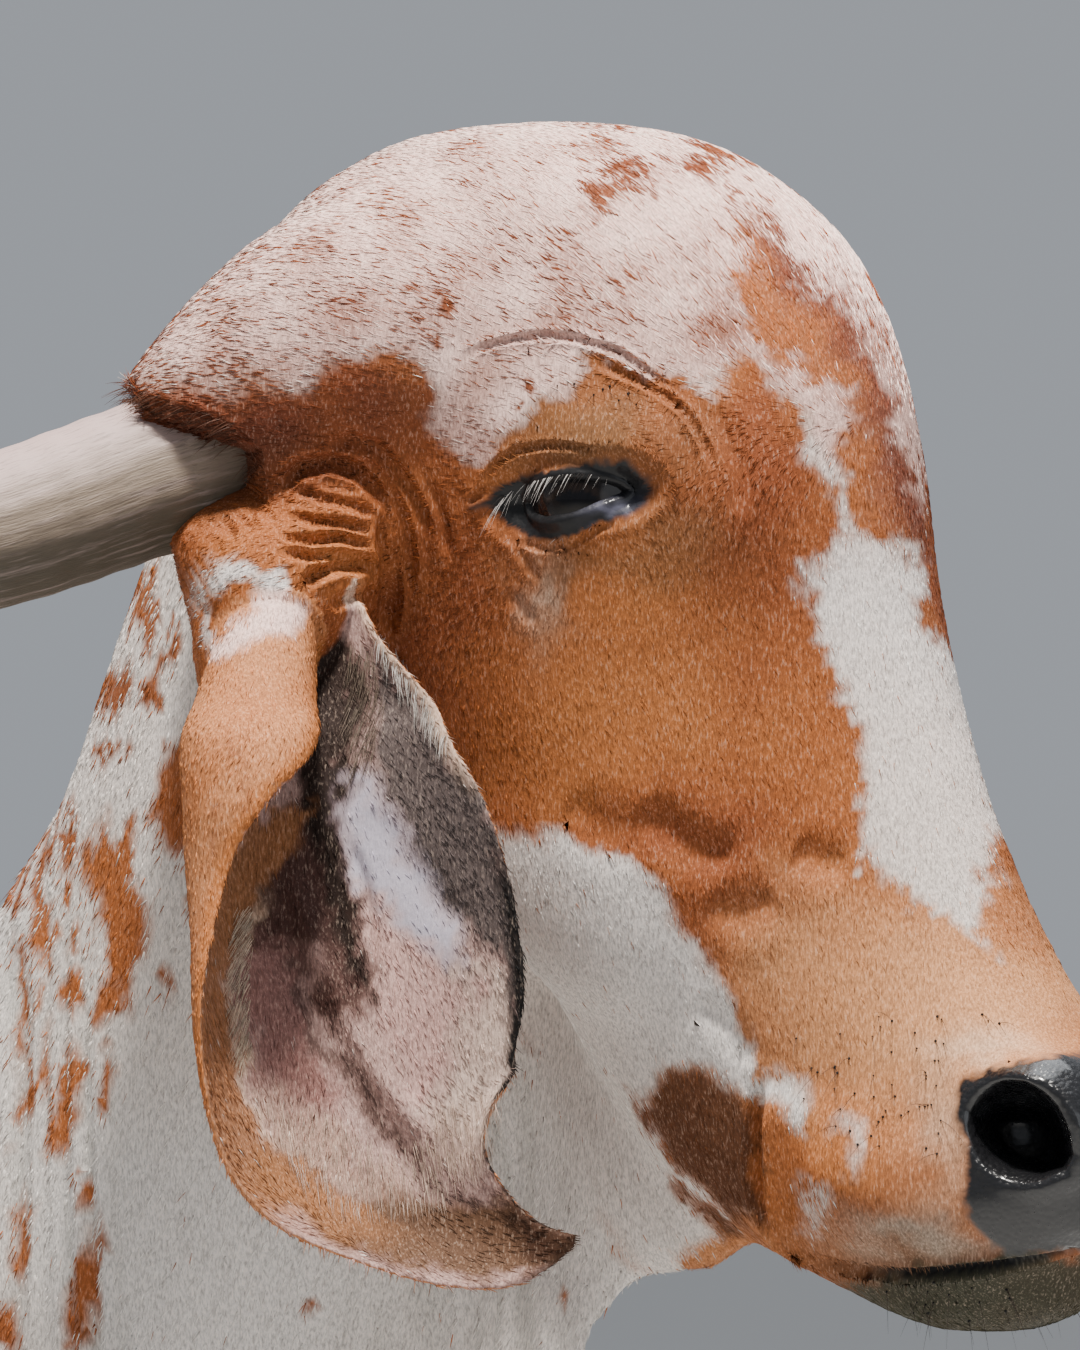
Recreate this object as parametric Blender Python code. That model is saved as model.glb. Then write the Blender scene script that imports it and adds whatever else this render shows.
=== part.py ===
# Gyr cow, life size, standing with her head raised and turned to her left.
# Metres: +X is the way the body faces, +Y is her left, +Z is up, and the hooves stand on z = 0.
# The flesh is modelled as lofted masses, fused into one smooth body, and parted with thin plane cuts.
import math

import bmesh
import bpy
import numpy as np
from mathutils import Matrix, Vector

GAP = 0.0003  # between neighbouring solids
SIDES = {"right": -1, "left": 1}

# the head's frame: X ahead of the top of the forehead, Y to her left, depth down from it
HEAD_TOP = (0.84, 0.05, 1.70)
HEAD_TURN = math.radians(25)
FACE_PITCH = math.radians(62)  # slope of the face below the horizontal

# one row a station: x, top, bottom, half width, share of the height where it is widest
TORSO = (
    (0.53, 1.16, 0.84, 0.070, 0.50),
    (0.47, 1.26, 0.73, 0.150, 0.50),
    (0.36, 1.325, 0.66, 0.195, 0.46),
    (0.20, 1.320, 0.625, 0.225, 0.45),
    (0.02, 1.290, 0.600, 0.265, 0.45),
    (-0.17, 1.280, 0.590, 0.290, 0.45),
    (-0.35, 1.295, 0.610, 0.280, 0.48),
    (-0.50, 1.320, 0.670, 0.240, 0.55),
    (-0.66, 1.305, 0.750, 0.195, 0.58),
    (-0.80, 1.265, 0.850, 0.150, 0.58),
    (-0.91, 1.190, 0.960, 0.085, 0.55),
)
# nape x, nape z, throat x, throat z, half width, sideways, turn as a share of HEAD_TURN
NECK = (
    (0.26, 1.310, 0.51, 0.730, 0.150, 0.000, 0.0),
    (0.40, 1.335, 0.600, 0.840, 0.128, 0.000, 0.1),
    (0.480, 1.385, 0.665, 0.980, 0.115, 0.002, 0.3),
    (0.545, 1.452, 0.720, 1.110, 0.105, 0.010, 0.5),
    (0.580, 1.528, 0.775, 1.235, 0.103, 0.020, 0.75),
    (0.629, 1.588, 0.825, 1.345, 0.102, 0.031, 1.0),
    (0.690, 1.605, 0.850, 1.420, 0.070, 0.038, 1.0),
)
# along the face from the crown, front and back of the section, half widths at SECTION_SHARES
HEAD = (
    (-0.030, -0.060, -0.130, 0.030, 0.040, 0.040, 0.025),
    (-0.018, -0.030, -0.165, 0.046, 0.064, 0.064, 0.036),
    (0.005, 0.012, -0.200, 0.058, 0.082, 0.084, 0.052),
    (0.035, 0.050, -0.225, 0.064, 0.094, 0.098, 0.066),
    (0.070, 0.075, -0.232, 0.064, 0.100, 0.102, 0.072),
    (0.110, 0.091, -0.228, 0.061, 0.101, 0.100, 0.074),
    (0.155, 0.092, -0.215, 0.056, 0.096, 0.094, 0.072),
    (0.205, 0.081, -0.202, 0.050, 0.088, 0.088, 0.066),
    (0.260, 0.064, -0.192, 0.043, 0.074, 0.083, 0.058),
    (0.320, 0.051, -0.180, 0.037, 0.064, 0.073, 0.050),
    (0.380, 0.044, -0.172, 0.036, 0.057, 0.059, 0.044),
    (0.435, 0.044, -0.158, 0.041, 0.056, 0.052, 0.040),
    (0.480, 0.051, -0.130, 0.046, 0.060, 0.050, 0.037),
    (0.515, 0.057, -0.100, 0.046, 0.060, 0.050, 0.034),
    (0.545, 0.044, -0.072, 0.036, 0.046, 0.042, 0.028),
)
SECTION_SHARES = (0.10, 0.36, 0.64, 0.90)  # of the way from the front of a section to its back

HORN_BASE = (-0.130, -0.125, 0.146)
EAR_ROOT = (-0.074, -0.100, 0.150)
EYE = (0.056, -0.071, 0.162)
EYE_RADIUS = 0.0265


def smooth_rows(rows, steps):
    """Catmull-Rom rows through the given ones."""
    rows = np.array(rows, float)
    padded = np.vstack([2 * rows[0] - rows[1], rows, 2 * rows[-1] - rows[-2]])
    made = []
    for i in range(1, len(padded) - 2):
        a, b, c, d = padded[i - 1 : i + 3]
        for t in np.arange(steps) / steps:
            made.append(
                0.5
                * (2 * b + (c - a) * t + (2 * a - 5 * b + 4 * c - d) * t**2 + (3 * b - a - 3 * c + d) * t**3)
            )
    return np.array(made + [rows[-1]])


def closed_curve(points, count):
    """A smooth closed loop of count points through a few."""
    points = np.array(points, float)
    n = len(points)
    at = np.arange(count) * n / count
    i, t = at.astype(int), (at % 1)[:, None]
    a, b, c, d = (points[(i + k) % n] for k in (-1, 0, 1, 2))
    return 0.5 * (2 * b + (c - a) * t + (2 * a - 5 * b + 4 * c - d) * t**2 + (3 * b - a - 3 * c + d) * t**3)


def new_object(name, mesh):
    obj = bpy.data.objects.new(name, mesh)
    bpy.context.scene.collection.objects.link(obj)
    return obj


def loft(rings, name="mass"):
    """A closed mesh through rings of equal count, each end closed by a fan."""
    bm = bmesh.new()
    loops = [[bm.verts.new(p) for p in ring] for ring in rings]
    count = len(loops[0])
    for a, b in zip(loops, loops[1:]):
        for i in range(count):
            j = (i + 1) % count
            bm.faces.new((a[i], a[j], b[j], b[i]))
    for ring, loop in ((rings[0], loops[0]), (rings[-1], loops[-1])):
        tip = bm.verts.new(np.mean(ring, axis=0))
        for i in range(count):
            bm.faces.new((loop[i], loop[(i + 1) % count], tip))
    bmesh.ops.recalc_face_normals(bm, faces=bm.faces)
    mesh = bpy.data.meshes.new(name)
    bm.to_mesh(mesh)
    bm.free()
    return new_object(name, mesh)


def ball(centre, radii, turn=(0, 0, 0), name="mass", detail=3):
    """An ellipsoid, turned by degrees about X, Y and Z."""
    bm = bmesh.new()
    bmesh.ops.create_icosphere(bm, subdivisions=detail, radius=1)
    angles = [math.radians(a) for a in turn]
    matrix = Matrix.Translation(centre)
    for axis, angle in zip("ZYX", reversed(angles)):
        matrix = matrix @ Matrix.Rotation(angle, 4, axis)
    bmesh.ops.transform(bm, matrix=matrix @ Matrix.Diagonal((*radii, 1)), verts=bm.verts)
    mesh = bpy.data.meshes.new(name)
    bm.to_mesh(mesh)
    bm.free()
    return new_object(name, mesh)


def limb(stations, steps=6, count=20, name="mass"):
    """A tube along stations of x, y, z, fore-and-aft radius and sideways radius."""
    rows = smooth_rows(stations, steps)
    centres = rows[:, :3]
    ways = np.gradient(centres, axis=0)
    ways /= np.linalg.norm(ways, axis=1)[:, None]
    around = np.arange(count) * 2 * math.pi / count
    rings = []
    for centre, way, (fore, side) in zip(centres, ways, rows[:, 3:5]):
        across = np.array((0, 1, 0)) - way[1] * way
        across /= np.linalg.norm(across)
        ahead = np.cross(across, way)
        rings.append(
            centre
            + np.outer(np.cos(around) * fore, ahead)
            + np.outer(np.sin(around) * side, across)
        )
    return loft(rings, name)


def head_point(x, y, depth):
    """A point of the head's frame in the body's."""
    c, s = math.cos(HEAD_TURN), math.sin(HEAD_TURN)
    return Vector((HEAD_TOP[0] + c * x - s * y, HEAD_TOP[1] + s * x + c * y, HEAD_TOP[2] - depth))


def face_point(along, front, side):
    """A point given along the face from the crown, out of its front, and to the left."""
    c, s = math.cos(FACE_PITCH), math.sin(FACE_PITCH)
    return head_point(along * c + front * s, side, along * s - front * c)


def torso_masses():
    count = 40
    around = np.arange(count) * 2 * math.pi / count
    across, up = np.cos(around), np.sin(around)
    rings = []
    for x, top, bottom, half, share in smooth_rows(TORSO, 5):
        widest = bottom + share * (top - bottom)
        height = np.where(up > 0, top - widest, widest - bottom)
        rise = np.sign(up) * np.abs(up) ** np.where(up > 0, 1.05, 0.85)
        rings.append(np.stack([np.full(count, x), half * across, widest + height * rise], axis=1))
    made = [loft(rings)]
    for side in SIDES.values():
        made += [
            ball((0.33, 0.110 * side, 1.06), (0.125, 0.100, 0.27), (0, 14, 0)),  # shoulder blade
            ball((0.38, 0.130 * side, 0.87), (0.125, 0.080, 0.13), (0, 40, 0)),  # point of shoulder
            ball((-0.52, 0.165 * side, 1.225), (0.080, 0.070, 0.065)),  # hook bone
            ball((-0.70, 0.120 * side, 1.030), (0.190, 0.100, 0.235), (0, 12, 0)),  # thigh
            ball((-0.58, 0.165 * side, 0.860), (0.120, 0.065, 0.170), (0, 20, 0)),  # stifle
            ball((-0.870, 0.075 * side, 1.150), (0.060, 0.045, 0.060)),  # pin bone
        ]
    made.append(ball((0.155, 0, 1.270), (0.195, 0.100, 0.130), (0, -4, 0)))  # hump
    made.append(ball((0.53, 0, 0.80), (0.085, 0.095, 0.120), (0, -25, 0)))  # brisket
    made.append(ball((-0.02, 0, 0.600), (0.160, 0.034, 0.062), (0, 4, 0)))  # navel fold
    return made


def neck_masses():
    count = 32
    around = np.arange(count) * 2 * math.pi / count
    rings = []
    for nape_x, nape_z, throat_x, throat_z, half, sideways, share in smooth_rows(NECK, 6):
        turn = share * HEAD_TURN
        ahead = Vector((math.cos(turn), math.sin(turn), 0))
        across = Vector((-math.sin(turn), math.cos(turn), 0))
        middle_x = (nape_x + throat_x) / 2
        centre = Vector((middle_x, sideways, (nape_z + throat_z) / 2))
        lean = ahead * ((nape_x - throat_x) / 2) + Vector((0, 0, (nape_z - throat_z) / 2))
        rings.append([centre + lean * math.cos(a) + across * half * math.sin(a) for a in around])
    return [loft(rings)]


DEWLAP = (
    # x, z of its upper line, hang below it, sideways
    (0.855, 1.310, 0.036, 0.062),
    (0.800, 1.195, 0.076, 0.050),
    (0.735, 1.050, 0.090, 0.028),
    (0.675, 0.920, 0.105, 0.012),
    (0.590, 0.800, 0.120, 0.002),
    (0.480, 0.715, 0.120, 0.000),
    (0.340, 0.660, 0.080, 0.000),
    (0.220, 0.640, 0.030, 0.000),
)
DEWLAP_HALF = 0.017
DEWLAP_WAVE = 0.011
# loose skin under the jaw, in the head's frame: centre and radii
THROAT_WEB = ((0.038, 0, 0.450), (0.062, 0.021, 0.053))


def dewlap_mass():
    """The loose skin from the throat to between the forelegs: a thin wavy sheet."""
    rows = smooth_rows(DEWLAP, 8)
    ways = np.gradient(rows[:, :2], axis=0)
    ways /= np.linalg.norm(ways, axis=1)[:, None]
    count = 20
    around = np.arange(count) * 2 * math.pi / count
    rings = []
    for i, ((x, z, hang, sideways), way) in enumerate(zip(rows, ways)):
        out = np.array((-way[1], way[0]))
        reach = hang * 0.5 * (1 + np.cos(around)) + 0.06 * 0.5 * (np.cos(around) - 1)
        wave = DEWLAP_WAVE * np.sin(i * 0.55) * np.clip(reach / max(hang, 0.03), 0, 1)
        half = DEWLAP_HALF * np.sin(around) * (1 + 0.25 * np.cos(around))
        rings.append(
            np.stack([x + out[0] * reach, sideways + half + wave, z + out[1] * reach], axis=1)
        )
    centre, radii = THROAT_WEB
    return [loft(rings), ball(head_point(*centre), radii, (0, 0, math.degrees(HEAD_TURN)))]


# x, y, z, fore-and-aft radius, sideways radius: the right side's y is its mirror
FORELEG = (
    (0.30, 0.150, 0.86, 0.090, 0.060),
    (0.31, 0.158, 0.74, 0.076, 0.056),
    (0.325, 0.155, 0.62, 0.056, 0.046),
    (0.335, 0.150, 0.50, 0.041, 0.038),
    (0.342, 0.148, 0.43, 0.043, 0.040),
    (0.338, 0.147, 0.37, 0.033, 0.032),
    (0.332, 0.147, 0.27, 0.027, 0.025),
    (0.332, 0.147, 0.19, 0.029, 0.028),
    (0.336, 0.147, 0.145, 0.036, 0.037),
    (0.352, 0.147, 0.100, 0.032, 0.036),
    (0.368, 0.147, 0.052, 0.045, 0.046),
)
HINDLEG = (
    (-0.62, 0.140, 0.92, 0.150, 0.075),
    (-0.625, 0.155, 0.78, 0.120, 0.070),
    (-0.675, 0.155, 0.66, 0.075, 0.052),
    (-0.745, 0.145, 0.56, 0.050, 0.037),
    (-0.785, 0.140, 0.49, 0.050, 0.034),
    (-0.772, 0.138, 0.42, 0.041, 0.031),
    (-0.752, 0.137, 0.33, 0.031, 0.027),
    (-0.742, 0.137, 0.20, 0.031, 0.029),
    (-0.737, 0.137, 0.150, 0.037, 0.037),
    (-0.720, 0.137, 0.100, 0.032, 0.036),
    (-0.704, 0.137, 0.052, 0.045, 0.046),
)
STANCE = {  # how far each foot is set forward of the square stance
    ("fore", "right"): 0.035,
    ("fore", "left"): -0.040,
    ("hind", "right"): -0.055,
    ("hind", "left"): 0.050,
}
STANCE_TOP = 0.75  # the leg swings from this height down
CORONET = 0.078  # height of the top of the hooves


def placed(stations, end, side):
    """Leg stations on one side, swung forward or back by the stance."""
    step = STANCE[end, side]
    made = []
    for x, y, z, fore, half in stations:
        swing = step * min(1, max(0, (STANCE_TOP - z) / (STANCE_TOP - 0.12)))
        made.append((x + swing, y * SIDES[side], z, fore, half))
    return made


def leg_masses():
    made = []
    for end, stations in (("fore", FORELEG), ("hind", HINDLEG)):
        for side in SIDES:
            rows = placed(stations, end, side)
            made.append(limb(rows))
            fetlock = rows[8]
            for dewclaw in (-1, 1):
                made.append(
                    ball(
                        (fetlock[0] - 0.034, fetlock[1] + 0.020 * dewclaw, fetlock[2] - 0.022),
                        (0.016, 0.012, 0.018),
                    )
                )
    return made


def udder_masses():
    made = [ball((-0.50, 0, 0.640), (0.155, 0.085, 0.125), (0, 10, 0))]
    for x in (-0.575, -0.475):
        for side in SIDES.values():
            made.append(
                limb(
                    (
                        (x, 0.045 * side, 0.60, 0.040, 0.035),
                        (x, 0.048 * side, 0.535, 0.022, 0.021),
                        (x, 0.050 * side, 0.500, 0.013, 0.013),
                        (x, 0.051 * side, 0.470, 0.011, 0.011),
                        (x, 0.051 * side, 0.452, 0.007, 0.007),
                    ),
                    count=12,
                )
            )
    return made


def head_masses():
    count = 36
    rings = []
    for along, front, back, *halves in smooth_rows(HEAD, 5):
        depth = front - back
        right = [(front - share * depth, half) for share, half in zip(SECTION_SHARES, halves)]
        outline = [(front, 0), *right, (back, 0), *[(f, -h) for f, h in reversed(right)]]
        rings.append([face_point(along, f, -h) for f, h in closed_curve(outline, count)])
    made = [loft(rings)]
    yaw = math.degrees(HEAD_TURN)
    for side in SIDES.values():
        boss = [
            (*head_point(-0.030, 0.045 * side, 0.092), 0.074, 0.074),
            (*head_point(-0.075, 0.080 * side, 0.106), 0.068, 0.066),
            (*head_point(HORN_BASE[0], -HORN_BASE[1] * side, HORN_BASE[2]), 0.041, 0.041),
        ]
        made.append(limb(boss, count=20))
        root = [
            (*head_point(-0.030, 0.060 * side, 0.160), 0.040, 0.040),
            (*head_point(EAR_ROOT[0], -EAR_ROOT[1] * side, EAR_ROOT[2]), 0.036, 0.036),
        ]
        made.append(limb(root, count=16))
        brow = head_point(EYE[0] + 0.004, (-EYE[1] - 0.002) * side, EYE[2] - 0.022)
        made.append(ball(brow, (0.048, 0.032, 0.032), (0, 12, yaw)))
        lids = head_point(EYE[0], -EYE[1] * side, EYE[2])
        made.append(ball(lids, (0.036, EYE_RADIUS + 0.005, EYE_RADIUS + 0.004), (0, 0, yaw)))
        wing = head_point(0.258, 0.036 * side, 0.425)
        made.append(ball(wing, (0.034, 0.030, 0.036), (0, 0, yaw)))
        lip = head_point(0.200, 0.036 * side, 0.448)
        made.append(ball(lip, (0.062, 0.032, 0.038), (0, 10, yaw)))
        cheek = head_point(0.040, 0.052 * side, 0.300)
        made.append(ball(cheek, (0.065, 0.030, 0.090), (0, -30, yaw)))
    made.append(ball(head_point(0.248, 0, 0.435), (0.054, 0.050, 0.046), (0, 0, yaw)))
    made.append(ball(head_point(0.200, 0, 0.485), (0.066, 0.042, 0.029), (0, 4, yaw)))
    return made


# along the image of the leaf seen from her front right, 35 degrees off her nose:
# right of the top of the head, below it, sideways, tilt of the section,
# then the curl in degrees and width of the flap behind the spine and of the one ahead of it
EAR_VIEW = math.radians(35)
EAR = (
    (-0.124, 0.186, 0.112, 0, 320, 0.070, 70, 0.026),
    (-0.128, 0.204, 0.120, 0, 312, 0.092, 66, 0.044),
    (-0.133, 0.222, 0.128, 0, 300, 0.105, 60, 0.060),
    (-0.136, 0.247, 0.138, 0, 270, 0.115, 50, 0.085),
    (-0.137, 0.264, 0.145, 0, 250, 0.127, 50, 0.095),
    (-0.135, 0.290, 0.150, 0, 190, 0.100, 50, 0.109),
    (-0.133, 0.325, 0.152, 0, 150, 0.079, 50, 0.119),
    (-0.116, 0.370, 0.150, 4, 110, 0.086, 50, 0.106),
    (-0.101, 0.411, 0.146, 15, 95, 0.089, 45, 0.086),
    (-0.088, 0.432, 0.142, 30, 90, 0.084, 40, 0.076),
    (-0.069, 0.452, 0.136, 50, 80, 0.054, 35, 0.068),
    (-0.047, 0.464, 0.128, 75, 70, 0.038, 30, 0.031),
    (-0.022, 0.472, 0.120, 85, 40, 0.021, 20, 0.010),
    (-0.002, 0.473, 0.115, 85, 20, 0.003, 10, 0.003),
)
EAR_THICK = 0.0050
EAR_ROOM = 0.0015  # round the folded root, in its socket
EAR_STEPS = 2
EAR_ACROSS = 4  # facets on each flap


def ear(name, side):
    """A long pendulous leaf, its rear rim rolled forward, on a stub that enters the head."""
    c, s = math.cos(EAR_VIEW), math.sin(EAR_VIEW)
    bm = bmesh.new()
    lines = []
    for right, depth, sideways, tilt, curl_r, wide_r, curl_f, wide_f in smooth_rows(EAR, EAR_STEPS):
        near = (right * s + sideways) / c  # towards the viewer, for the wanted sideways place
        tilt = math.radians(tilt)
        line = []
        for curl, wide, way in ((curl_r, wide_r, -1), (curl_f, wide_f, 1)):
            curl = math.radians(curl)
            radius = wide / curl
            for k in range(EAR_ACROSS + 1):
                if way == 1 and k == 0:
                    continue
                angle = curl * k / EAR_ACROSS
                out = way * radius * math.sin(angle)
                point = (
                    right + out * math.cos(tilt),
                    near + radius * (1 - math.cos(angle)),
                    depth - out * math.sin(tilt),
                )
                line.append(point)
            if way == -1:
                line.reverse()
        lines.append(
            [
                bm.verts.new(head_point(u * c + n * s, (n * c - u * s) * side, d))
                for u, n, d in line
            ]
        )
    for a, b in zip(lines, lines[1:]):
        for i in range(len(a) - 1):
            bm.faces.new((a[i], a[i + 1], b[i + 1], b[i]))
    mesh = bpy.data.meshes.new(name)
    bm.to_mesh(mesh)
    bm.free()
    leaf = new_object(name, mesh)
    thick = leaf.modifiers.new("thick", "SOLIDIFY")
    thick.thickness = EAR_THICK
    thick.offset = 0
    evaluated(leaf)
    stub = limb(
        (
            (*head_point(-0.036, 0.068 * side, 0.152), 0.024, 0.024),
            (*head_point(-0.060, 0.100 * side, 0.178), 0.033, 0.031),
            (*head_point(-0.072, 0.118 * side, 0.202), 0.037, 0.033),
            (*head_point(-0.078, 0.128 * side, 0.226), 0.031, 0.028),
            (*head_point(-0.080, 0.134 * side, 0.256), 0.018, 0.017),
            (*head_point(-0.081, 0.136 * side, 0.276), 0.007, 0.007),
        ),
        steps=2,
        count=14,
        name=name + "_stub",
    )
    united(leaf, stub)
    return leaf


HORN = (
    # ahead, sideways, depth, radius
    (-0.121, 0.112, 0.139, 0.0325),
    (-0.136, 0.130, 0.147, 0.0330),
    (-0.184, 0.188, 0.175, 0.0318),
    (-0.232, 0.246, 0.188, 0.0290),
    (-0.268, 0.300, 0.174, 0.0250),
    (-0.276, 0.345, 0.130, 0.0200),
    (-0.256, 0.372, 0.072, 0.0140),
    (-0.220, 0.378, 0.018, 0.0055),
)


def mirrored(obj, name):
    """The head's other side's copy of a solid."""
    copy = new_object(name, obj.data.copy())
    frame = Matrix.Translation(HEAD_TOP) @ Matrix.Rotation(HEAD_TURN, 4, "Z")
    copy.data.transform(frame @ Matrix.Diagonal((1, -1, 1, 1)) @ frame.inverted())
    copy.data.flip_normals()
    return copy


def horn(name, side):
    rows = [(*head_point(x, y * side, d), r, r) for x, y, d, r in HORN]
    return limb(rows, steps=3, count=10, name=name)


def eye(name, side):
    return ball(head_point(EYE[0], -EYE[1] * side, EYE[2]), (EYE_RADIUS,) * 3, name=name)


def evaluated(obj):
    """The object's mesh with its modifiers applied, which are then removed."""
    graph = bpy.context.evaluated_depsgraph_get()
    mesh = bpy.data.meshes.new_from_object(obj.evaluated_get(graph))
    obj.modifiers.clear()
    obj.data = mesh
    return obj


def boolean(obj, operation, cutter, keep=False):
    cut = obj.modifiers.new("cut", "BOOLEAN")
    cut.operation = operation
    cut.solver = "EXACT"
    cut.object = cutter
    evaluated(obj)
    if not keep:
        bpy.data.objects.remove(cutter)
    return obj


def united(obj, other):
    return boolean(obj, "UNION", other)


def grown(obj, by=GAP):
    """A copy a little larger than a closed body."""
    copy = new_object(obj.name + "_grown", obj.data.copy())
    swell = copy.modifiers.new("swell", "DISPLACE")
    swell.strength = by
    swell.mid_level = 0
    return evaluated(copy)


def socket(obj, fitted, room=GAP):
    """Leaves room in obj for a fitted body."""
    return boolean(obj, "DIFFERENCE", grown(fitted, room))


def largest(obj):
    """Keeps a body's largest closed surface."""
    bm = bmesh.new()
    bm.from_mesh(obj.data)
    left = set(bm.verts)
    shells = []
    while left:
        shell = {left.pop()}
        edge_of_it = list(shell)
        while edge_of_it:
            for edge in edge_of_it.pop().link_edges:
                for vert in edge.verts:
                    if vert in left:
                        left.remove(vert)
                        shell.add(vert)
                        edge_of_it.append(vert)
        shells.append(shell)
    kept = max(shells, key=len)
    bmesh.ops.delete(bm, geom=[v for v in bm.verts if v not in kept], context="VERTS")
    bm.to_mesh(obj.data)
    bm.free()
    return obj


def fused(obj, others):
    """Unites a body with many at once."""
    group = bpy.data.collections.new("others")
    for other in others:
        group.objects.link(other)
    union = obj.modifiers.new("union", "BOOLEAN")
    union.operation = "UNION"
    union.solver = "EXACT"
    union.operand_type = "COLLECTION"
    union.collection = group
    evaluated(obj)
    for other in others:
        bpy.data.objects.remove(other)
    bpy.data.collections.remove(group)
    return largest(obj)


def joined(objects, name):
    bm = bmesh.new()
    for obj in objects:
        mesh = obj.data.copy()
        mesh.transform(obj.matrix_world)
        bm.from_mesh(mesh)
        bpy.data.meshes.remove(mesh)
        bpy.data.objects.remove(obj)
    mesh = bpy.data.meshes.new(name)
    bm.to_mesh(mesh)
    bm.free()
    return new_object(name, mesh)


def ramp(values, low, high):
    return np.clip((values - low) / (high - low), 0, 1)


def weights(obj, name, values):
    group = obj.vertex_groups.new(name=name)
    for i, value in enumerate(values):
        group.add((i,), float(value), "REPLACE")


VOXEL = 0.0065
SMOOTHING = 320
BODY_TRIANGLES = 5550


def fused_body():
    """All the flesh as one smooth closed surface."""
    masses = torso_masses() + neck_masses() + dewlap_mass() + leg_masses()
    masses += udder_masses() + head_masses()
    body = joined(masses, "body")
    remesh = body.modifiers.new("fuse", "REMESH")
    remesh.mode = "VOXEL"
    remesh.voxel_size = VOXEL
    evaluated(body)
    points = np.empty(len(body.data.vertices) * 3)
    body.data.vertices.foreach_get("co", points)
    x, y, z = points.reshape(-1, 3).T
    on_head = ramp(x * 0.86 + (z - 1.4) * 0.5, 0.60, 0.68)
    on_leg = 1 - ramp(z, 0.60, 0.86)
    in_front = ramp(x * 0.913 - z * 0.408, 0.19, 0.23) * (1 - on_head)
    soft = np.minimum(1 - 0.988 * on_head, 1 - 0.988 * on_leg)
    soft = np.minimum(soft, 1 - 0.965 * in_front)
    weights(body, "soft", soft)
    smooth = body.modifiers.new("smooth", "SMOOTH")
    smooth.factor = 0.5
    smooth.iterations = SMOOTHING
    smooth.vertex_group = "soft"
    evaluated(body)
    weights(body, "coarse", np.minimum(1 - 0.30 * on_head, 1 - 0.25 * on_leg))
    thin = body.modifiers.new("thin", "DECIMATE")
    thin.ratio = BODY_TRIANGLES / (2 * len(body.data.polygons))
    thin.vertex_group = "coarse"
    thin.vertex_group_factor = 1.0
    evaluated(body)
    body.vertex_groups.clear()
    return body


def half(obj, point, normal, name):
    """A copy of the side of a closed body that the normal points to, short of the plane by half a gap."""
    bm = bmesh.new()
    bm.from_mesh(obj.data)
    normal = Vector(normal).normalized()
    point = Vector(point) + normal * GAP / 2
    geometry = bm.verts[:] + bm.edges[:] + bm.faces[:]
    bmesh.ops.bisect_plane(bm, geom=geometry, plane_co=point, plane_no=normal, clear_inner=True)
    rim = [e for e in bm.edges if e.is_boundary]
    bmesh.ops.triangle_fill(bm, edges=rim, use_beauty=True, normal=-normal)
    bmesh.ops.recalc_face_normals(bm, faces=bm.faces)
    mesh = bpy.data.meshes.new(name)
    bm.to_mesh(mesh)
    bm.free()
    return new_object(name, mesh)


def parted(obj, point, normal, ahead, behind):
    """Cuts a body in two by a plane."""
    normal = Vector(normal)
    pieces = half(obj, point, normal, ahead), half(obj, point, -normal, behind)
    bpy.data.objects.remove(obj)
    return pieces


def block(corners):
    """A six-sided cutter from its eight corners, a lower four and an upper four."""
    bm = bmesh.new()
    verts = [bm.verts.new(c) for c in corners]
    for face in ((3, 2, 1, 0), (4, 5, 6, 7), (0, 1, 5, 4), (1, 2, 6, 5), (2, 3, 7, 6), (3, 0, 4, 7)):
        bm.faces.new([verts[i] for i in face])
    bmesh.ops.recalc_face_normals(bm, faces=bm.faces)
    mesh = bpy.data.meshes.new("cutter")
    bm.to_mesh(mesh)
    bm.free()
    cutter = new_object("cutter", mesh)
    cutter.hide_render = True
    cutter.display_type = "WIRE"
    return cutter


def carved(obj, cutter, name):
    """Takes the part of a body inside a cutter off it, as a body of its own."""
    piece = new_object(name, obj.data.copy())
    boolean(piece, "INTERSECT", cutter, keep=True)
    socket(obj, cutter)
    bpy.data.objects.remove(cutter)
    return piece


# the block that takes each leg off: x from and to, inner and outer |y|, height at each
LEG_BLOCKS = {
    "fore": (0.16, 0.52, 0.060, 0.280, 0.590, 0.800),
    "hind": (-1.02, -0.50, 0.090, 0.300, 0.655, 0.830),
}
JOINT_HEIGHTS = {"fore": 0.405, "hind": 0.462}
CORONET_SLOPE = 0.35
CLAW_WIDTH = 0.047
CLAW_GAP = 0.003


def claw(name, end, side, which):
    """One half of a cloven hoof, flat on the ground."""
    foot = placed(FORELEG if end == "fore" else HINDLEG, end, side)[-1]
    rings = []
    for share in (1, 0.75, 0.5, 0.25, 0.06, 0):
        toe = 0.050 + 0.033 * (1 - share)
        heel = -0.040 - 0.006 * (1 - share)
        width = CLAW_WIDTH * (1.0 + 0.06 * (1 - share)) * (1 if share > 0.03 else 0.94)
        if share == 0:
            toe -= 0.003
            heel += 0.003
        inner = CLAW_GAP / 2
        outline = (
            (heel, inner + 0.30 * width),
            (heel + 0.006, inner + 0.004),
            (0.000, inner),
            (toe - 0.030, inner + 0.001),
            (toe - 0.004, inner + 0.008),
            (toe, inner + 0.20 * width),
            (toe - 0.014, inner + 0.60 * width),
            (toe - 0.040, inner + 0.95 * width),
            (0.000, inner + width),
            (heel + 0.014, inner + 0.90 * width),
            (heel + 0.003, inner + 0.62 * width),
        )
        ring = []
        for x, y in outline:
            top = CORONET - 0.012 + CORONET_SLOPE * x - GAP
            ring.append((foot[0] + x, foot[1] + y * which, top * share))
        rings.append(ring)
    return loft(rings, name)


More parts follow.
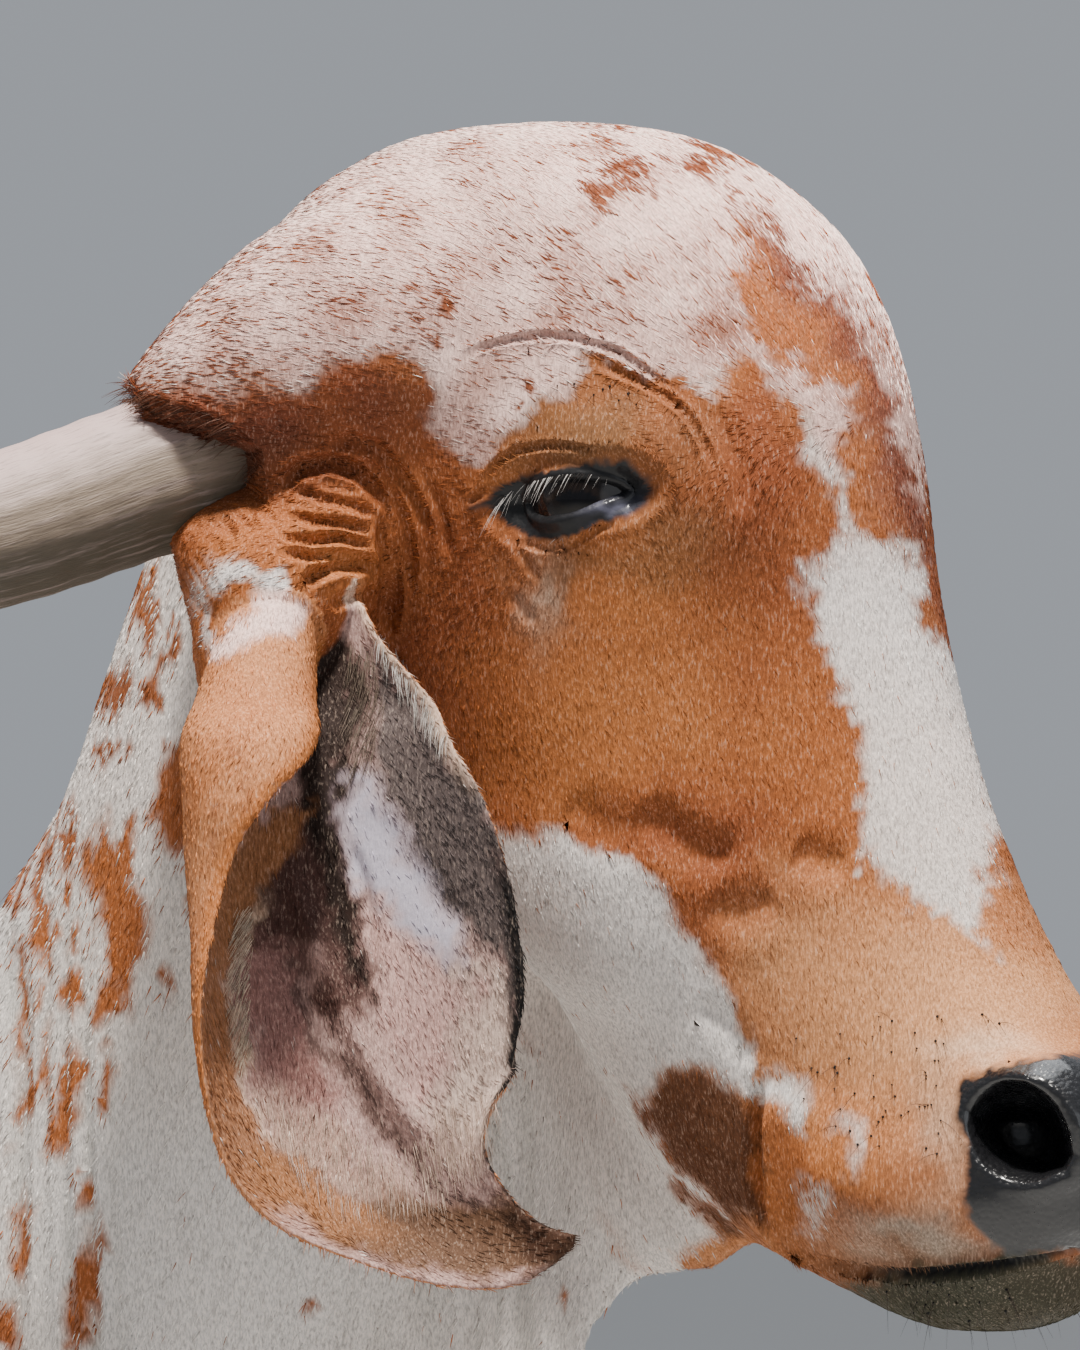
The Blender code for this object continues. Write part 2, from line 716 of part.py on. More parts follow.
def mouth_cutter():
    """The slit between the lips, as a thin band round the muzzle."""
    line = (
        (0.128, 0.050, 0.476),
        (0.150, 0.053, 0.489),
        (0.175, 0.055, 0.4965),
        (0.205, 0.055, 0.4975),
        (0.235, 0.052, 0.4950),
        (0.262, 0.042, 0.4905),
        (0.282, 0.024, 0.4860),
        (0.290, 0.000, 0.4840),
    )
    line = [(x, -y, d) for x, y, d in line] + [(x, y, d) for x, y, d in reversed(line[:-1])]
    rings = []
    for i, (x, y, d) in enumerate(smooth_rows(line, 3)):
        inward = 0.62 if 2 < i < 39 else 0.88
        shift = 0.190 * (1 - inward)
        inner = (x * inward + shift, y * inward)
        outer = (x + (x - 0.19) * 0.25, y * 1.35)
        half_open = 0.0014
        rings.append(
            [
                head_point(*inner, d - half_open * 0.4),
                head_point(*inner, d + half_open * 0.4),
                head_point(*outer, d + half_open * 1.4),
                head_point(*outer, d - half_open * 1.4),
            ]
        )
    return loft(rings, "mouth")


def carve_face(head):
    """Eyelid openings, nostrils and the mouth line."""
    yaw = math.degrees(HEAD_TURN)
    for side in SIDES.values():
        opening = head_point(EYE[0], (-EYE[1] + 0.032) * side, EYE[2] + 0.003)
        boolean(head, "DIFFERENCE", ball(opening, (0.0235, 0.030, 0.0085), (0, 6, yaw)))
        hole = head_point(0.258, 0.056 * side, 0.426)
        lean = yaw + 50 * side
        boolean(head, "DIFFERENCE", ball(hole, (0.027, 0.021, 0.021), (0, 28, lean)))
        slot = head_point(0.236, 0.068 * side, 0.412)
        boolean(head, "DIFFERENCE", ball(slot, (0.022, 0.012, 0.008), (0, 35, yaw), detail=2))
    boolean(head, "DIFFERENCE", mouth_cutter())
    return head


TAIL = (
    # x, y, z, fore-and-aft radius, sideways radius
    (-0.880, 0.000, 1.225, 0.030, 0.034),
    (-0.925, 0.000, 1.200, 0.032, 0.036),
    (-0.958, 0.001, 1.120, 0.026, 0.030),
    (-0.966, 0.003, 1.000, 0.021, 0.023),
    (-0.968, 0.006, 0.850, 0.017, 0.018),
    (-0.970, 0.009, 0.700, 0.014, 0.015),
    (-0.974, 0.012, 0.550, 0.012, 0.013),
    (-0.978, 0.014, 0.440, 0.011, 0.011),
)
SWITCH_CORE = (
    (-0.974, 0.012, 0.560, 0.016, 0.016),
    (-0.977, 0.014, 0.500, 0.026, 0.024),
    (-0.979, 0.015, 0.440, 0.027, 0.025),
    (-0.980, 0.016, 0.400, 0.017, 0.016),
    (-0.981, 0.016, 0.385, 0.006, 0.006),
)
LOCKS = 18
LOCK_WIDTH = 0.030
LOCK_THICK = 0.009
LOCK_STEPS = (0, 0.22, 0.5, 0.8, 1)  # shares of a lock's length where its rings lie
LOCK_ROOTS = (0.545, 0.410)  # heights of the first and the last root
LOCK_TIPS = (0.330, 0.195)  # heights of the first and the last tip
LOCK_START = 0.013  # from the axis to the middle of a root, inside the core
LOCK_BULGE = (0.022, 0.010)  # how far the first and the last stand out further
LOCK_UNEVEN = 0.005  # of that, from lock to lock
TIP_UNEVEN = 0.018
LOCK_TWIST = 0.55  # most that one winds round the axis, in radians
SWITCH_AXIS = (-0.979, 0.015)
TURN_STEP = math.pi * (3 - math.sqrt(5))  # even spread round the core


def between(ends, share):
    return ends[0] + share * (ends[1] - ends[0])


def lock(number):
    """One flat, tapered lock of the switch, rooted in its core and hanging down over it."""
    share = number / (LOCKS - 1)
    root = between(LOCK_ROOTS, share)
    tip = between(LOCK_TIPS, share) + TIP_UNEVEN * math.sin(number * 2.7)
    bulge = between(LOCK_BULGE, share) + LOCK_UNEVEN * math.sin(number * 1.9)
    twist = LOCK_TWIST * math.sin(number * 3.3)
    rings = []
    for step in LOCK_STEPS:
        turn = number * TURN_STEP + twist * step
        radial = Vector((math.cos(turn), math.sin(turn), 0))
        across = Vector((-math.sin(turn), math.cos(turn), 0))
        out = LOCK_START - 0.010 * step * share + bulge * math.sin(math.pi * (0.04 + 0.82 * step))
        centre = Vector((*SWITCH_AXIS, root + step * (tip - root))) + radial * out
        half = LOCK_WIDTH / 2 * (0.6 if step == 0 else 1 - 0.94 * step**1.6)
        thick = LOCK_THICK / 2 * (1 - 0.90 * step**1.4)
        corners = ((half, 0), (0, thick), (-half, 0), (0, -thick))
        rings.append([centre + across * a + radial * b for a, b in corners])
    return loft(rings, "lock")


def material(name, colour, roughness, metallic=0.0):
    made = bpy.data.materials.new(name)
    made.use_nodes = True
    shader = made.node_tree.nodes["Principled BSDF"]
    shader.inputs["Base Color"].default_value = (*colour, 1)
    shader.inputs["Roughness"].default_value = roughness
    shader.inputs["Metallic"].default_value = metallic
    made.diffuse_color = (*colour, 1)
    return made


HIDE_WHITE = (0.72, 0.64, 0.56)
HIDE_RED = (0.33, 0.13, 0.055)
HORN_GREY = (0.30, 0.27, 0.25)
HOOF_BLACK = (0.045, 0.040, 0.038)
EYE_DARK = (0.012, 0.008, 0.006)
SKIN_PINK = (0.50, 0.33, 0.27)
HAIR_DARK = (0.035, 0.024, 0.018)


def build():
    body = fused_body()
    nape = head_point(-0.20, 0, 0.15)
    c, s = math.cos(HEAD_TURN), math.sin(HEAD_TURN)
    head, rest = parted(body, nape, (0.827 * c, 0.827 * s, 0.562), "head", "rest")
    neck, torso = parted(rest, (0.42, 0, 1.36), (0.962, 0, 0.275), "neck", "torso")
    dewlap, neck_part = parted(neck, (0.825, 0, 1.30), (0.913, 0, -0.408), "dewlap", "neck_part")
    neck_part.name = "neck"
    pieces = {"head": head, "neck": neck_part, "torso": torso, "dewlap": dewlap}
    for end, (x0, x1, y0, y1, z0, z1) in LEG_BLOCKS.items():
        for side, sign in SIDES.items():
            base = [(x0, y0), (x1, y0), (x1, y1), (x0, y1)]
            lower = [(x, y * sign, -0.1) for x, y in base]
            upper = [(x, y * sign, z0 if y == y0 else z1) for x, y in base]
            leg = carved(torso, block(lower + upper), f"{end}leg_{side}")
            foot = placed(FORELEG if end == "fore" else HINDLEG, end, side)[-1]
            coronet = (foot[0], foot[1], CORONET - 0.012)
            sole = half(leg, coronet, (-CORONET_SLOPE, 0, 1), "leg")
            bpy.data.objects.remove(leg)
            joint = (0, 0, JOINT_HEIGHTS[end])
            names = f"{end}leg_upper_{side}", f"{end}leg_lower_{side}"
            upper_leg, lower_leg = parted(sole, joint, (0, 0, 1), *names)
            pieces[names[0]], pieces[names[1]] = upper_leg, lower_leg
            for which, label in ((1, "left"), (-1, "right")):
                name = f"hoof_{end}_{side}_{'outer' if which == sign else 'inner'}"
                pieces[name] = claw(name, end, side, which)
    x0, x1, y0, y1, z1 = -0.72, -0.34, -0.0895, 0.0895, 0.635
    base = [(x0, y0), (x1, y0), (x1, y1), (x0, y1)]
    under = block([(x, y, 0.30) for x, y in base] + [(x, y, z1) for x, y in base])
    pieces["udder"] = carved(torso, under, "udder")
    carve_face(head)
    horns = {"left": horn("horn_left", 1)}
    ears = {"left": socket(ear("ear_left", 1), horns["left"])}
    for kept in (horns, ears):
        kept["right"] = mirrored(kept["left"], kept["left"].name.replace("left", "right"))
    for side, sign in SIDES.items():
        for made in (ears[side], horns[side], eye(f"eye_{side}", sign)):
            socket(head, made, EAR_ROOM if made is ears[side] else GAP)
            pieces[made.name] = made
    tail = limb(TAIL, steps=2, count=10, name="tail")
    socket(torso, tail)
    switch = limb(SWITCH_CORE, steps=2, count=12, name="tail_switch")
    fused(switch, [lock(number) for number in range(LOCKS)])
    largest(socket(switch, tail))
    pieces["tail"], pieces["tail_switch"] = tail, switch
    return pieces


FINISH = {
    "head": ("head_hide", HIDE_RED, 0.75),
    "neck": ("neck_hide", HIDE_WHITE, 0.78),
    "torso": ("body_hide", HIDE_WHITE, 0.78),
    "dewlap": ("dewlap_hide", HIDE_WHITE, 0.80),
    "foreleg": ("foreleg_hide", HIDE_WHITE, 0.76),
    "hindleg": ("hindleg_hide", HIDE_WHITE, 0.76),
    "hoof": ("hoof_horn", HOOF_BLACK, 0.45),
    "udder": ("udder_skin", SKIN_PINK, 0.62),
    "ear": ("ear_hide", HIDE_RED, 0.72),
    "horn": ("horn_sheath", HORN_GREY, 0.50),
    "eye": ("eye_wet", EYE_DARK, 0.06),
    "tail": ("tail_hide", HIDE_WHITE, 0.76),
    "tail_switch": ("switch_hair", HAIR_DARK, 0.85),
}

for old in list(bpy.data.objects):
    bpy.data.objects.remove(old)
parts = build()
lows, highs = [], []
for obj in parts.values():
    bm = bmesh.new()
    bm.from_mesh(obj.data)
    bmesh.ops.triangulate(bm, faces=bm.faces)
    bm.to_mesh(obj.data)
    bm.free()
    corners = np.array([v.co for v in obj.data.vertices])
    lows.append(corners.min(axis=0))
    highs.append(corners.max(axis=0))
low, high = np.min(lows, axis=0), np.max(highs, axis=0)
shift = Vector((-(low[0] + high[0]) / 2, -(low[1] + high[1]) / 2, -low[2]))
for name, obj in parts.items():
    obj.name = name
    obj.data.name = name
    obj.data.transform(Matrix.Translation(shift))
    key = name if name in FINISH else name.split("_")[0]
    slot, colour, roughness = FINISH[key]
    kept = bpy.data.materials.get(slot)
    obj.data.materials.clear()
    obj.data.materials.append(kept if kept else material(slot, colour, roughness))
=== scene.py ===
import math

import bmesh
import bpy
import numpy as np
from mathutils import Matrix, Vector
from mathutils.bvhtree import BVHTree
from mathutils.kdtree import KDTree


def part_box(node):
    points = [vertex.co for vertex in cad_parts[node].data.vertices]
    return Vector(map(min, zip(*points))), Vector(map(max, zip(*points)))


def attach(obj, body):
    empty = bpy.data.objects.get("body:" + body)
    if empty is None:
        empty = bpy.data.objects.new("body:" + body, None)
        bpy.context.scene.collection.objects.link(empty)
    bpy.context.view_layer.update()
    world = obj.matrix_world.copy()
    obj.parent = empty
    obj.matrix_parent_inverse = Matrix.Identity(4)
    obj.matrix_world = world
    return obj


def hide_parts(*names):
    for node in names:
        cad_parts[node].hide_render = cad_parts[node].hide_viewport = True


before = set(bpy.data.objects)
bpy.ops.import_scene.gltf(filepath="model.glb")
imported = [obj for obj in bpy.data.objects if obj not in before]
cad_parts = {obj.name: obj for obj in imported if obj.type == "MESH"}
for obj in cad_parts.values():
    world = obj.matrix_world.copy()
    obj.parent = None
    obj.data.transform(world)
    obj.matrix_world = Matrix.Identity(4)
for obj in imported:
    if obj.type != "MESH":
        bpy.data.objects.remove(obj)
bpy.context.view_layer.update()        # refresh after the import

scene = bpy.context.scene


# small helpers for points, curves and meshes
def unit(v):
    v = np.asarray(v, float)
    return v / np.maximum(np.linalg.norm(v, axis=-1, keepdims=True), 1e-12)


def ramp(values, low, high):
    t = np.clip((np.asarray(values, float) - low) / (high - low), 0, 1)
    return t * t * (3 - 2 * t)


def mixed(a, b, share):
    return a + (np.asarray(b) - a) * np.asarray(share)[..., None]


def smoothRows(rows, steps):
    rows = np.array(rows, float)
    padded = np.vstack([2 * rows[0] - rows[1], rows, 2 * rows[-1] - rows[-2]])
    made = []
    for i in range(1, len(padded) - 2):
        a, b, c, d = padded[i - 1:i + 3]
        for t in np.arange(steps) / steps:
            made.append(0.5 * (2 * b + (c - a) * t + (2 * a - 5 * b + 4 * c - d) * t ** 2
                               + (3 * b - a - 3 * c + d) * t ** 3))
    return np.array(made + [rows[-1]])


def ripple(points, size, seed, waves=18):
    dice = np.random.default_rng(seed)
    ways = unit(dice.normal(size=(waves, 3))) * dice.uniform(0.6, 1.5, (waves, 1)) * 2 * math.pi / size
    phases = dice.uniform(0, 2 * math.pi, waves)
    total = np.zeros(len(points))
    for way, phase in zip(ways, phases):
        total += np.sin(points @ way + phase)
    return total / math.sqrt(waves / 2)  # about -2 to 2, mostly within 1


def addObject(name, mesh):
    obj = bpy.data.objects.new(name, mesh)
    scene.collection.objects.link(obj)
    return obj


def fastMesh(name, points, faces):
    mesh = bpy.data.meshes.new(name)
    faces = np.asarray(faces, np.int32)
    mesh.vertices.add(len(points))
    mesh.vertices.foreach_set("co", np.asarray(points, np.float32).ravel())
    mesh.loops.add(faces.size)
    mesh.loops.foreach_set("vertex_index", faces.ravel())
    mesh.polygons.add(len(faces))
    mesh.polygons.foreach_set("loop_start", np.arange(0, faces.size, faces.shape[1], dtype=np.int32))
    mesh.update(calc_edges=True)
    return mesh


def pointsOf(mesh):
    flat = np.empty(len(mesh.vertices) * 3, np.float32)
    mesh.vertices.foreach_get("co", flat)
    return flat.reshape(-1, 3).astype(float)


def trianglesOf(mesh):
    mesh.calc_loop_triangles()
    flat = np.empty(len(mesh.loop_triangles) * 3, np.int32)
    mesh.loop_triangles.foreach_get("vertices", flat)
    return flat.reshape(-1, 3)


def edgesOf(mesh):
    flat = np.empty(len(mesh.edges) * 2, np.int32)
    mesh.edges.foreach_get("vertices", flat)
    return flat.reshape(-1, 2)


def normalsOf(points, triangles):
    a, b, c = (points[triangles[:, i]] for i in range(3))
    flat = np.cross(b - a, c - a)
    total = np.zeros_like(points)
    for i in range(3):
        for axis in range(3):
            total[:, axis] += np.bincount(triangles[:, i], flat[:, axis], len(points))
    return unit(total)


def relaxed(points, edges, weight, rounds):
    count = len(points)
    degree = np.maximum(np.bincount(edges.ravel(), minlength=count), 1)[:, None]
    for _ in range(rounds):
        total = np.stack([np.bincount(edges[:, 0], points[edges[:, 1], i], count)
                          + np.bincount(edges[:, 1], points[edges[:, 0], i], count) for i in range(3)], 1)
        points = points + weight[:, None] * (total / degree - points)
    return points


def evaluated(obj):
    graph = bpy.context.evaluated_depsgraph_get()
    mesh = bpy.data.meshes.new_from_object(obj.evaluated_get(graph))
    obj.modifiers.clear()
    obj.data = mesh
    return obj


def setGroup(obj, name, values):
    group = obj.vertex_groups.new(name=name)
    levels = np.round(np.clip(values, 0, 1) * 50).astype(int)
    for level in range(51):
        members = np.flatnonzero(levels == level)
        if len(members):
            group.add(members.tolist(), level / 50, "REPLACE")


def limbRings(stations, steps, count):
    rows = smoothRows(stations, steps)
    centres = rows[:, :3]
    ways = unit(np.gradient(centres, axis=0))
    around = np.arange(count) * 2 * math.pi / count
    rings = []
    for centre, way, (fore, side) in zip(centres, ways, rows[:, 3:5]):
        across = unit(leftWay - way * (leftWay @ way))
        ahead = np.cross(across, way)
        rings.append(centre + np.outer(np.cos(around) * fore, ahead) + np.outer(np.sin(around) * side, across))
    return rings


def loft(rings, name):
    bm = bmesh.new()
    loops = [[bm.verts.new(p) for p in ring] for ring in rings]
    count = len(loops[0])
    for a, b in zip(loops, loops[1:]):
        for i in range(count):
            j = (i + 1) % count
            bm.faces.new((a[i], a[j], b[j], b[i]))
    for ring, loop in ((rings[0], loops[0]), (rings[-1], loops[-1])):
        tip = bm.verts.new(np.mean(ring, axis=0))
        for i in range(count):
            bm.faces.new((loop[i], loop[(i + 1) % count], tip))
    bmesh.ops.recalc_face_normals(bm, faces=bm.faces)
    mesh = bpy.data.meshes.new(name)
    bm.to_mesh(mesh)
    bm.free()
    return addObject(name, mesh)


# the head's own frame: ahead, left and down from the top of the dome, found from the two eyes
headPlan = {"eyeAhead": 0.056, "eyeSide": 0.071, "eyeBelow": 0.162, "facePitch": 62,
            "photoScale": 0.00043, "topPixel": (580, 125), "photoMiddle": (540, 675), "viewAngle": 35, "cameraAway": 5.0}


def boxMiddle(node):
    low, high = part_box(node)
    return np.array((low + high) / 2)


upWay = np.array((0.0, 0.0, 1.0))
leftWay = unit(boxMiddle("eye_left") - boxMiddle("eye_right"))
aheadWay = np.cross(leftWay, upWay)
headAxes = np.array((aheadWay, leftWay, -upWay))
headTop = ((boxMiddle("eye_left") + boxMiddle("eye_right")) / 2
           - aheadWay * headPlan["eyeAhead"] + upWay * headPlan["eyeBelow"])
viewCos, viewSin = math.cos(math.radians(headPlan["viewAngle"])), math.sin(math.radians(headPlan["viewAngle"]))
viewRight = aheadWay * viewCos + leftWay * viewSin
viewBack = aheadWay * viewSin - leftWay * viewCos  # from the head towards the camera
photoScale = headPlan["photoScale"]
faceCos, faceSin = math.cos(math.radians(headPlan["facePitch"])), math.sin(math.radians(headPlan["facePitch"]))


def toHead(points):
    return (np.asarray(points) - headTop) @ headAxes.T


def fromHead(points):
    return headTop + np.asarray(points) @ headAxes


def nearSide(headPoints):
    made = np.array(headPoints, float)
    made[:, 1] = -np.abs(made[:, 1])
    return made


def pixelOf(headPoints):
    h = np.asarray(headPoints)
    across = h[:, 0] * viewCos + h[:, 1] * viewSin
    nearer = headPlan["cameraAway"] / (headPlan["cameraAway"] - h[:, 0] * viewSin + h[:, 1] * viewCos)
    (x, y), (middleX, middleY) = headPlan["topPixel"], headPlan["photoMiddle"]
    return np.stack([middleX + (x - middleX + across / photoScale) * nearer,
                     middleY + (y - middleY + h[:, 2] / photoScale) * nearer], 1)


def pixelRay(x, y):
    # from the camera through a pixel, in world space
    middleX, middleY = headPlan["photoMiddle"]
    middle = headTop + viewRight * (middleX - headPlan["topPixel"][0]) * photoScale
    middle = middle - upWay * (middleY - headPlan["topPixel"][1]) * photoScale
    start = middle + viewBack * headPlan["cameraAway"]
    place = middle + viewRight * (x - middleX) * photoScale - upWay * (y - middleY) * photoScale
    return start, unit(place - start)


def insideOutline(pixels, outline):
    # distance in pixels to a closed outline, negative inside, and the nearest point on it
    outline = np.array(outline, float)
    best = np.full(len(pixels), 1e18)
    nearest = np.zeros_like(pixels)
    inside = np.zeros(len(pixels), bool)
    for a, b in zip(outline, np.roll(outline, -1, axis=0)):
        d = b - a
        t = np.clip(((pixels - a) @ d) / max(d @ d, 1e-9), 0, 1)
        on = a + t[:, None] * d
        gap = ((pixels - on) ** 2).sum(1)
        closer = gap < best
        best = np.where(closer, gap, best)
        nearest[closer] = on[closer]
        crosses = (a[1] > pixels[:, 1]) != (b[1] > pixels[:, 1])
        at = a[0] + (pixels[:, 1] - a[1]) * d[0] / (d[1] if abs(d[1]) > 1e-9 else 1e-9)
        inside ^= crosses & (pixels[:, 0] < at)
    distance = np.sqrt(best)
    return np.where(inside, -distance, distance), nearest


print("stage: skin base")
# one skin over all the flesh
skinPlan = {"voxel": 0.0040, "earVoxel": 0.0020,
            "spread": 0.030, "headSpread": 0.0075, "triangles": 100000,
            "bodyDepth": 0.0030, "headDepth": 0.0012}
fleshNodes = [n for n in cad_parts
              if n.split("_")[0] in ("head", "neck", "torso", "dewlap", "foreleg", "hindleg", "udder")
              or n == "tail"]


def closedCopy(node, swell):
    bm = bmesh.new()
    bm.from_mesh(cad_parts[node].data)
    bmesh.ops.remove_doubles(bm, verts=bm.verts, dist=2e-5)
    bm.normal_update()
    for vert in bm.verts:
        vert.co += vert.normal * swell
    mesh = bpy.data.meshes.new(node + "Copy")
    bm.to_mesh(mesh)
    bm.free()
    return mesh


def ballMesh(centre, radius):
    bm = bmesh.new()
    bmesh.ops.create_icosphere(bm, subdivisions=4, radius=radius, matrix=Matrix.Translation(centre))
    mesh = bpy.data.meshes.new("plug")
    bm.to_mesh(mesh)
    bm.free()
    return mesh


def joinedMeshes(meshes, name):
    bm = bmesh.new()
    for mesh in meshes:
        bm.from_mesh(mesh)
        bpy.data.meshes.remove(mesh)
    mesh = bpy.data.meshes.new(name)
    bm.to_mesh(mesh)
    bm.free()
    return addObject(name, mesh)


# the leaf of the ear seen from her front right: right of the head's top, below it, sideways,
# tilt of the section, then curl in degrees and width of the rear flap and of the front one
earPlan = {
    "leaf": ((-.124, .186, .112, 0, 320, .070, 70, .026), (-.128, .204, .120, 0, 312, .092, 66, .044),
             (-.133, .222, .128, 0, 300, .105, 60, .060), (-.136, .247, .138, 0, 270, .115, 50, .085),
             (-.137, .264, .145, 0, 250, .127, 50, .095), (-.135, .290, .150, 0, 190, .100, 50, .109),
             (-.133, .325, .152, 0, 150, .079, 50, .119), (-.116, .370, .150, 4, 110, .086, 50, .106),
             (-.101, .411, .146, 15, 95, .089, 45, .086), (-.088, .432, .142, 30, 90, .084, 40, .076),
             (-.069, .452, .136, 50, 80, .054, 35, .068), (-.047, .464, .128, 75, 70, .038, 30, .031),
             (-.022, .472, .120, 85, 40, .021, 20, .010), (-.002, .473, .115, 85, 20, .003, 10, .003)),
    "stub": ((-.036, .068, .152, .026, .026), (-.060, .100, .178, .033, .031), (-.072, .118, .202, .037, .033),
             (-.078, .128, .226, .031, .028), (-.080, .134, .256, .018, .017), (-.081, .136, .276, .007, .007)),
    "steps": 6, "across": 22, "thick": 0.0052, "rim": 0.0026}


def earMiddle(steps, columns):
    # the leaf's middle surface in the near side's head frame, rear rim first
    rows = smoothRows(earPlan["leaf"], steps)
    lines = []
    for right, depth, sideways, tilt, curlRear, wideRear, curlFront, wideFront in rows:
        near = (right * viewSin + sideways) / viewCos
        tilt = math.radians(tilt)
        line = []
        for curl, wide, way in ((curlRear, wideRear, -1), (curlFront, wideFront, 1)):
            angles = math.radians(curl) * np.arange(columns + 1) / columns
            radius = wide / math.radians(curl)
            out = way * radius * np.sin(angles)
            u = right + out * math.cos(tilt)
            n = near + radius * (1 - np.cos(angles))
            d = depth - out * math.sin(tilt)
            side = np.stack([u * viewCos + n * viewSin, u * viewSin - n * viewCos, d], 1)
            line.append(side[:0:-1] if way == -1 else side)
        lines.append(np.vstack(line))
    return np.array(lines)


def earNormals(grid):
    down, across = np.gradient(grid, axis=0), np.gradient(grid, axis=1)
    made = unit(np.cross(down, across))
    middle = made[grid.shape[0] // 2, grid.shape[1] // 2]
    towards = np.array((viewSin, -viewCos, 0))
    return made if middle @ towards > 0 else -made  # towards the inside of the cup


earGrid = earMiddle(earPlan["steps"], earPlan["across"])
earInward = earNormals(earGrid)


def earBody(side):
    rows, columns = earGrid.shape[:2]
    across = np.abs(np.linspace(-1, 1, columns))
    thick = earPlan["rim"] + (earPlan["thick"] - earPlan["rim"]) * (1 - across ** 6)
    thick = np.broadcast_to(thick[None, :, None] / 2, (rows, columns, 1))
    layers = [earGrid + earInward * thick, earGrid - earInward * thick]
    points = np.concatenate([layer.reshape(-1, 3) for layer in layers])
    points[:, 1] *= -side
    size = rows * columns
    faces = []
    for r in range(rows - 1):
        for c in range(columns - 1):
            a = r * columns + c
            faces.append((a, a + 1, a + columns + 1, a + columns))
            faces.append((size + a, size + a + columns, size + a + columns + 1, size + a + 1))
    for c in range(columns - 1):
        for r in (0, rows - 1):
            a = r * columns + c
            faces.append((a, a + 1, size + a + 1, size + a))
    for r in range(rows - 1):
        for c in (0, columns - 1):
            a = r * columns + c
            faces.append((a, a + columns, size + a + columns, size + a))
    mesh = bpy.data.meshes.new("leaf")
    mesh.from_pydata(fromHead(points).tolist(), [], faces)
    bm = bmesh.new()
    bm.from_mesh(mesh)
    bmesh.ops.recalc_face_normals(bm, faces=bm.faces)
    bm.to_mesh(mesh)
    bm.free()
    stub = [(*fromHead((x, y * side, d)), a, b) for x, y, d, a, b in earPlan["stub"]]
    stubObject = loft(limbRings(stub, 4, 28), "stub")
    stubMesh = stubObject.data.copy()
    bpy.data.objects.remove(stubObject)
    body = joinedMeshes([mesh, stubMesh], "earBody")
    remesh = body.modifiers.new("fuse", "REMESH")
    remesh.mode = "VOXEL"
    remesh.voxel_size = skinPlan["earVoxel"]
    evaluated(body)
    mesh = body.data
    points = relaxed(pointsOf(mesh), edgesOf(mesh), np.full(len(mesh.vertices), 0.5), 4)
    mesh.vertices.foreach_set("co", points.astype(np.float32).ravel())
    mesh.update()
    return body


def skinBase():
    meshes = [closedCopy(node, 0.0006) for node in fleshNodes]
    for side in (-1, 1):
        eye = fromHead((headPlan["eyeAhead"], headPlan["eyeSide"] * side, headPlan["eyeBelow"]))
        meshes.append(ballMesh(eye, 0.0300))
        for x, y, d, a, _ in earPlan["stub"][:3]:
            meshes.append(ballMesh(fromHead((x, y * side, d)), a + 0.003))
    skin = joinedMeshes(meshes, "cowSkin")
    remesh = skin.modifiers.new("fuse", "REMESH")
    remesh.mode = "VOXEL"
    remesh.voxel_size = skinPlan["voxel"]
    evaluated(skin)
    points = pointsOf(skin.data)
    head = toHead(points)
    onHead = napeSide(head)
    soft = softness(points, onHead)
    rounds = int((skinPlan["spread"] / skinPlan["voxel"]) ** 2 / 0.25)
    headRounds = int((skinPlan["headSpread"] / skinPlan["voxel"]) ** 2 / 0.25)
    setGroup(skin, "soft", soft)
    smooth = skin.modifiers.new("smooth", "SMOOTH")
    smooth.factor = 0.5
    smooth.iterations = rounds
    smooth.vertex_group = "soft"
    evaluated(skin)
    edges = edgesOf(skin.data)
    points = relaxed(pointsOf(skin.data), edges, 0.5 * np.where(soft < 0.5, 1.0, 0.2), max(headRounds, 2))
    points = neckFolds(points, relaxed(points, edges, np.full(len(points), 0.5), 2), trianglesOf(skin.data))
    skin.data.vertices.foreach_set("co", points.astype(np.float32).ravel())
    skin.data.update()
    skin.vertex_groups.clear()
    fine = (points, trianglesOf(skin.data))
    upperNeck = ramp(toHead(points)[:, 2], 0.75, 0.45) * ramp(toHead(points)[:, 0], -0.40, -0.25)
    setGroup(skin, "coarse", 1 - np.maximum(0.93 * onHead, 0.6 * upperNeck))
    thin = skin.modifiers.new("thin", "DECIMATE")
    thin.ratio = skinPlan["triangles"] / (2 * len(skin.data.polygons))
    thin.vertex_group = "coarse"
    thin.vertex_group_factor = 1.0
    evaluated(skin)
    skin.vertex_groups.clear()
    return skin, fine


def neckWave(points, head):
    # fine upright wrinkles in the loose skin of the throat and the side of the neck
    across = head[:, 0] * viewCos - np.abs(head[:, 1]) * viewSin
    bend = ripple(points * (1, 1, 0.35), 0.16, 61) * 1.3
    zone = (1 - napeSide(head)) * ramp(head[:, 2], 0.16, 0.28) * ramp(head[:, 0], -0.42, -0.34) * ramp(head[:, 2], 1.0, 0.8)
    patches = np.clip(0.45 + 0.5 * ripple(points * (1, 1, 0.5), 0.12, 62), 0, 1)
    wave = np.sin(across / 0.0150 * 2 * math.pi + 2.2 * bend) + 0.7 * np.sin(across / 0.026 * 2 * math.pi + 3 * bend)
    return wave * zone * patches


def neckFolds(points, smooth, triangles):
    return points + normalsOf(smooth, triangles) * (0.00120 * neckWave(points, toHead(points)))[:, None]


def napeSide(head):
    return ramp((head[:, 0] + 0.20) * 0.827 - (head[:, 2] - 0.15) * 0.562, -0.015, 0.015)


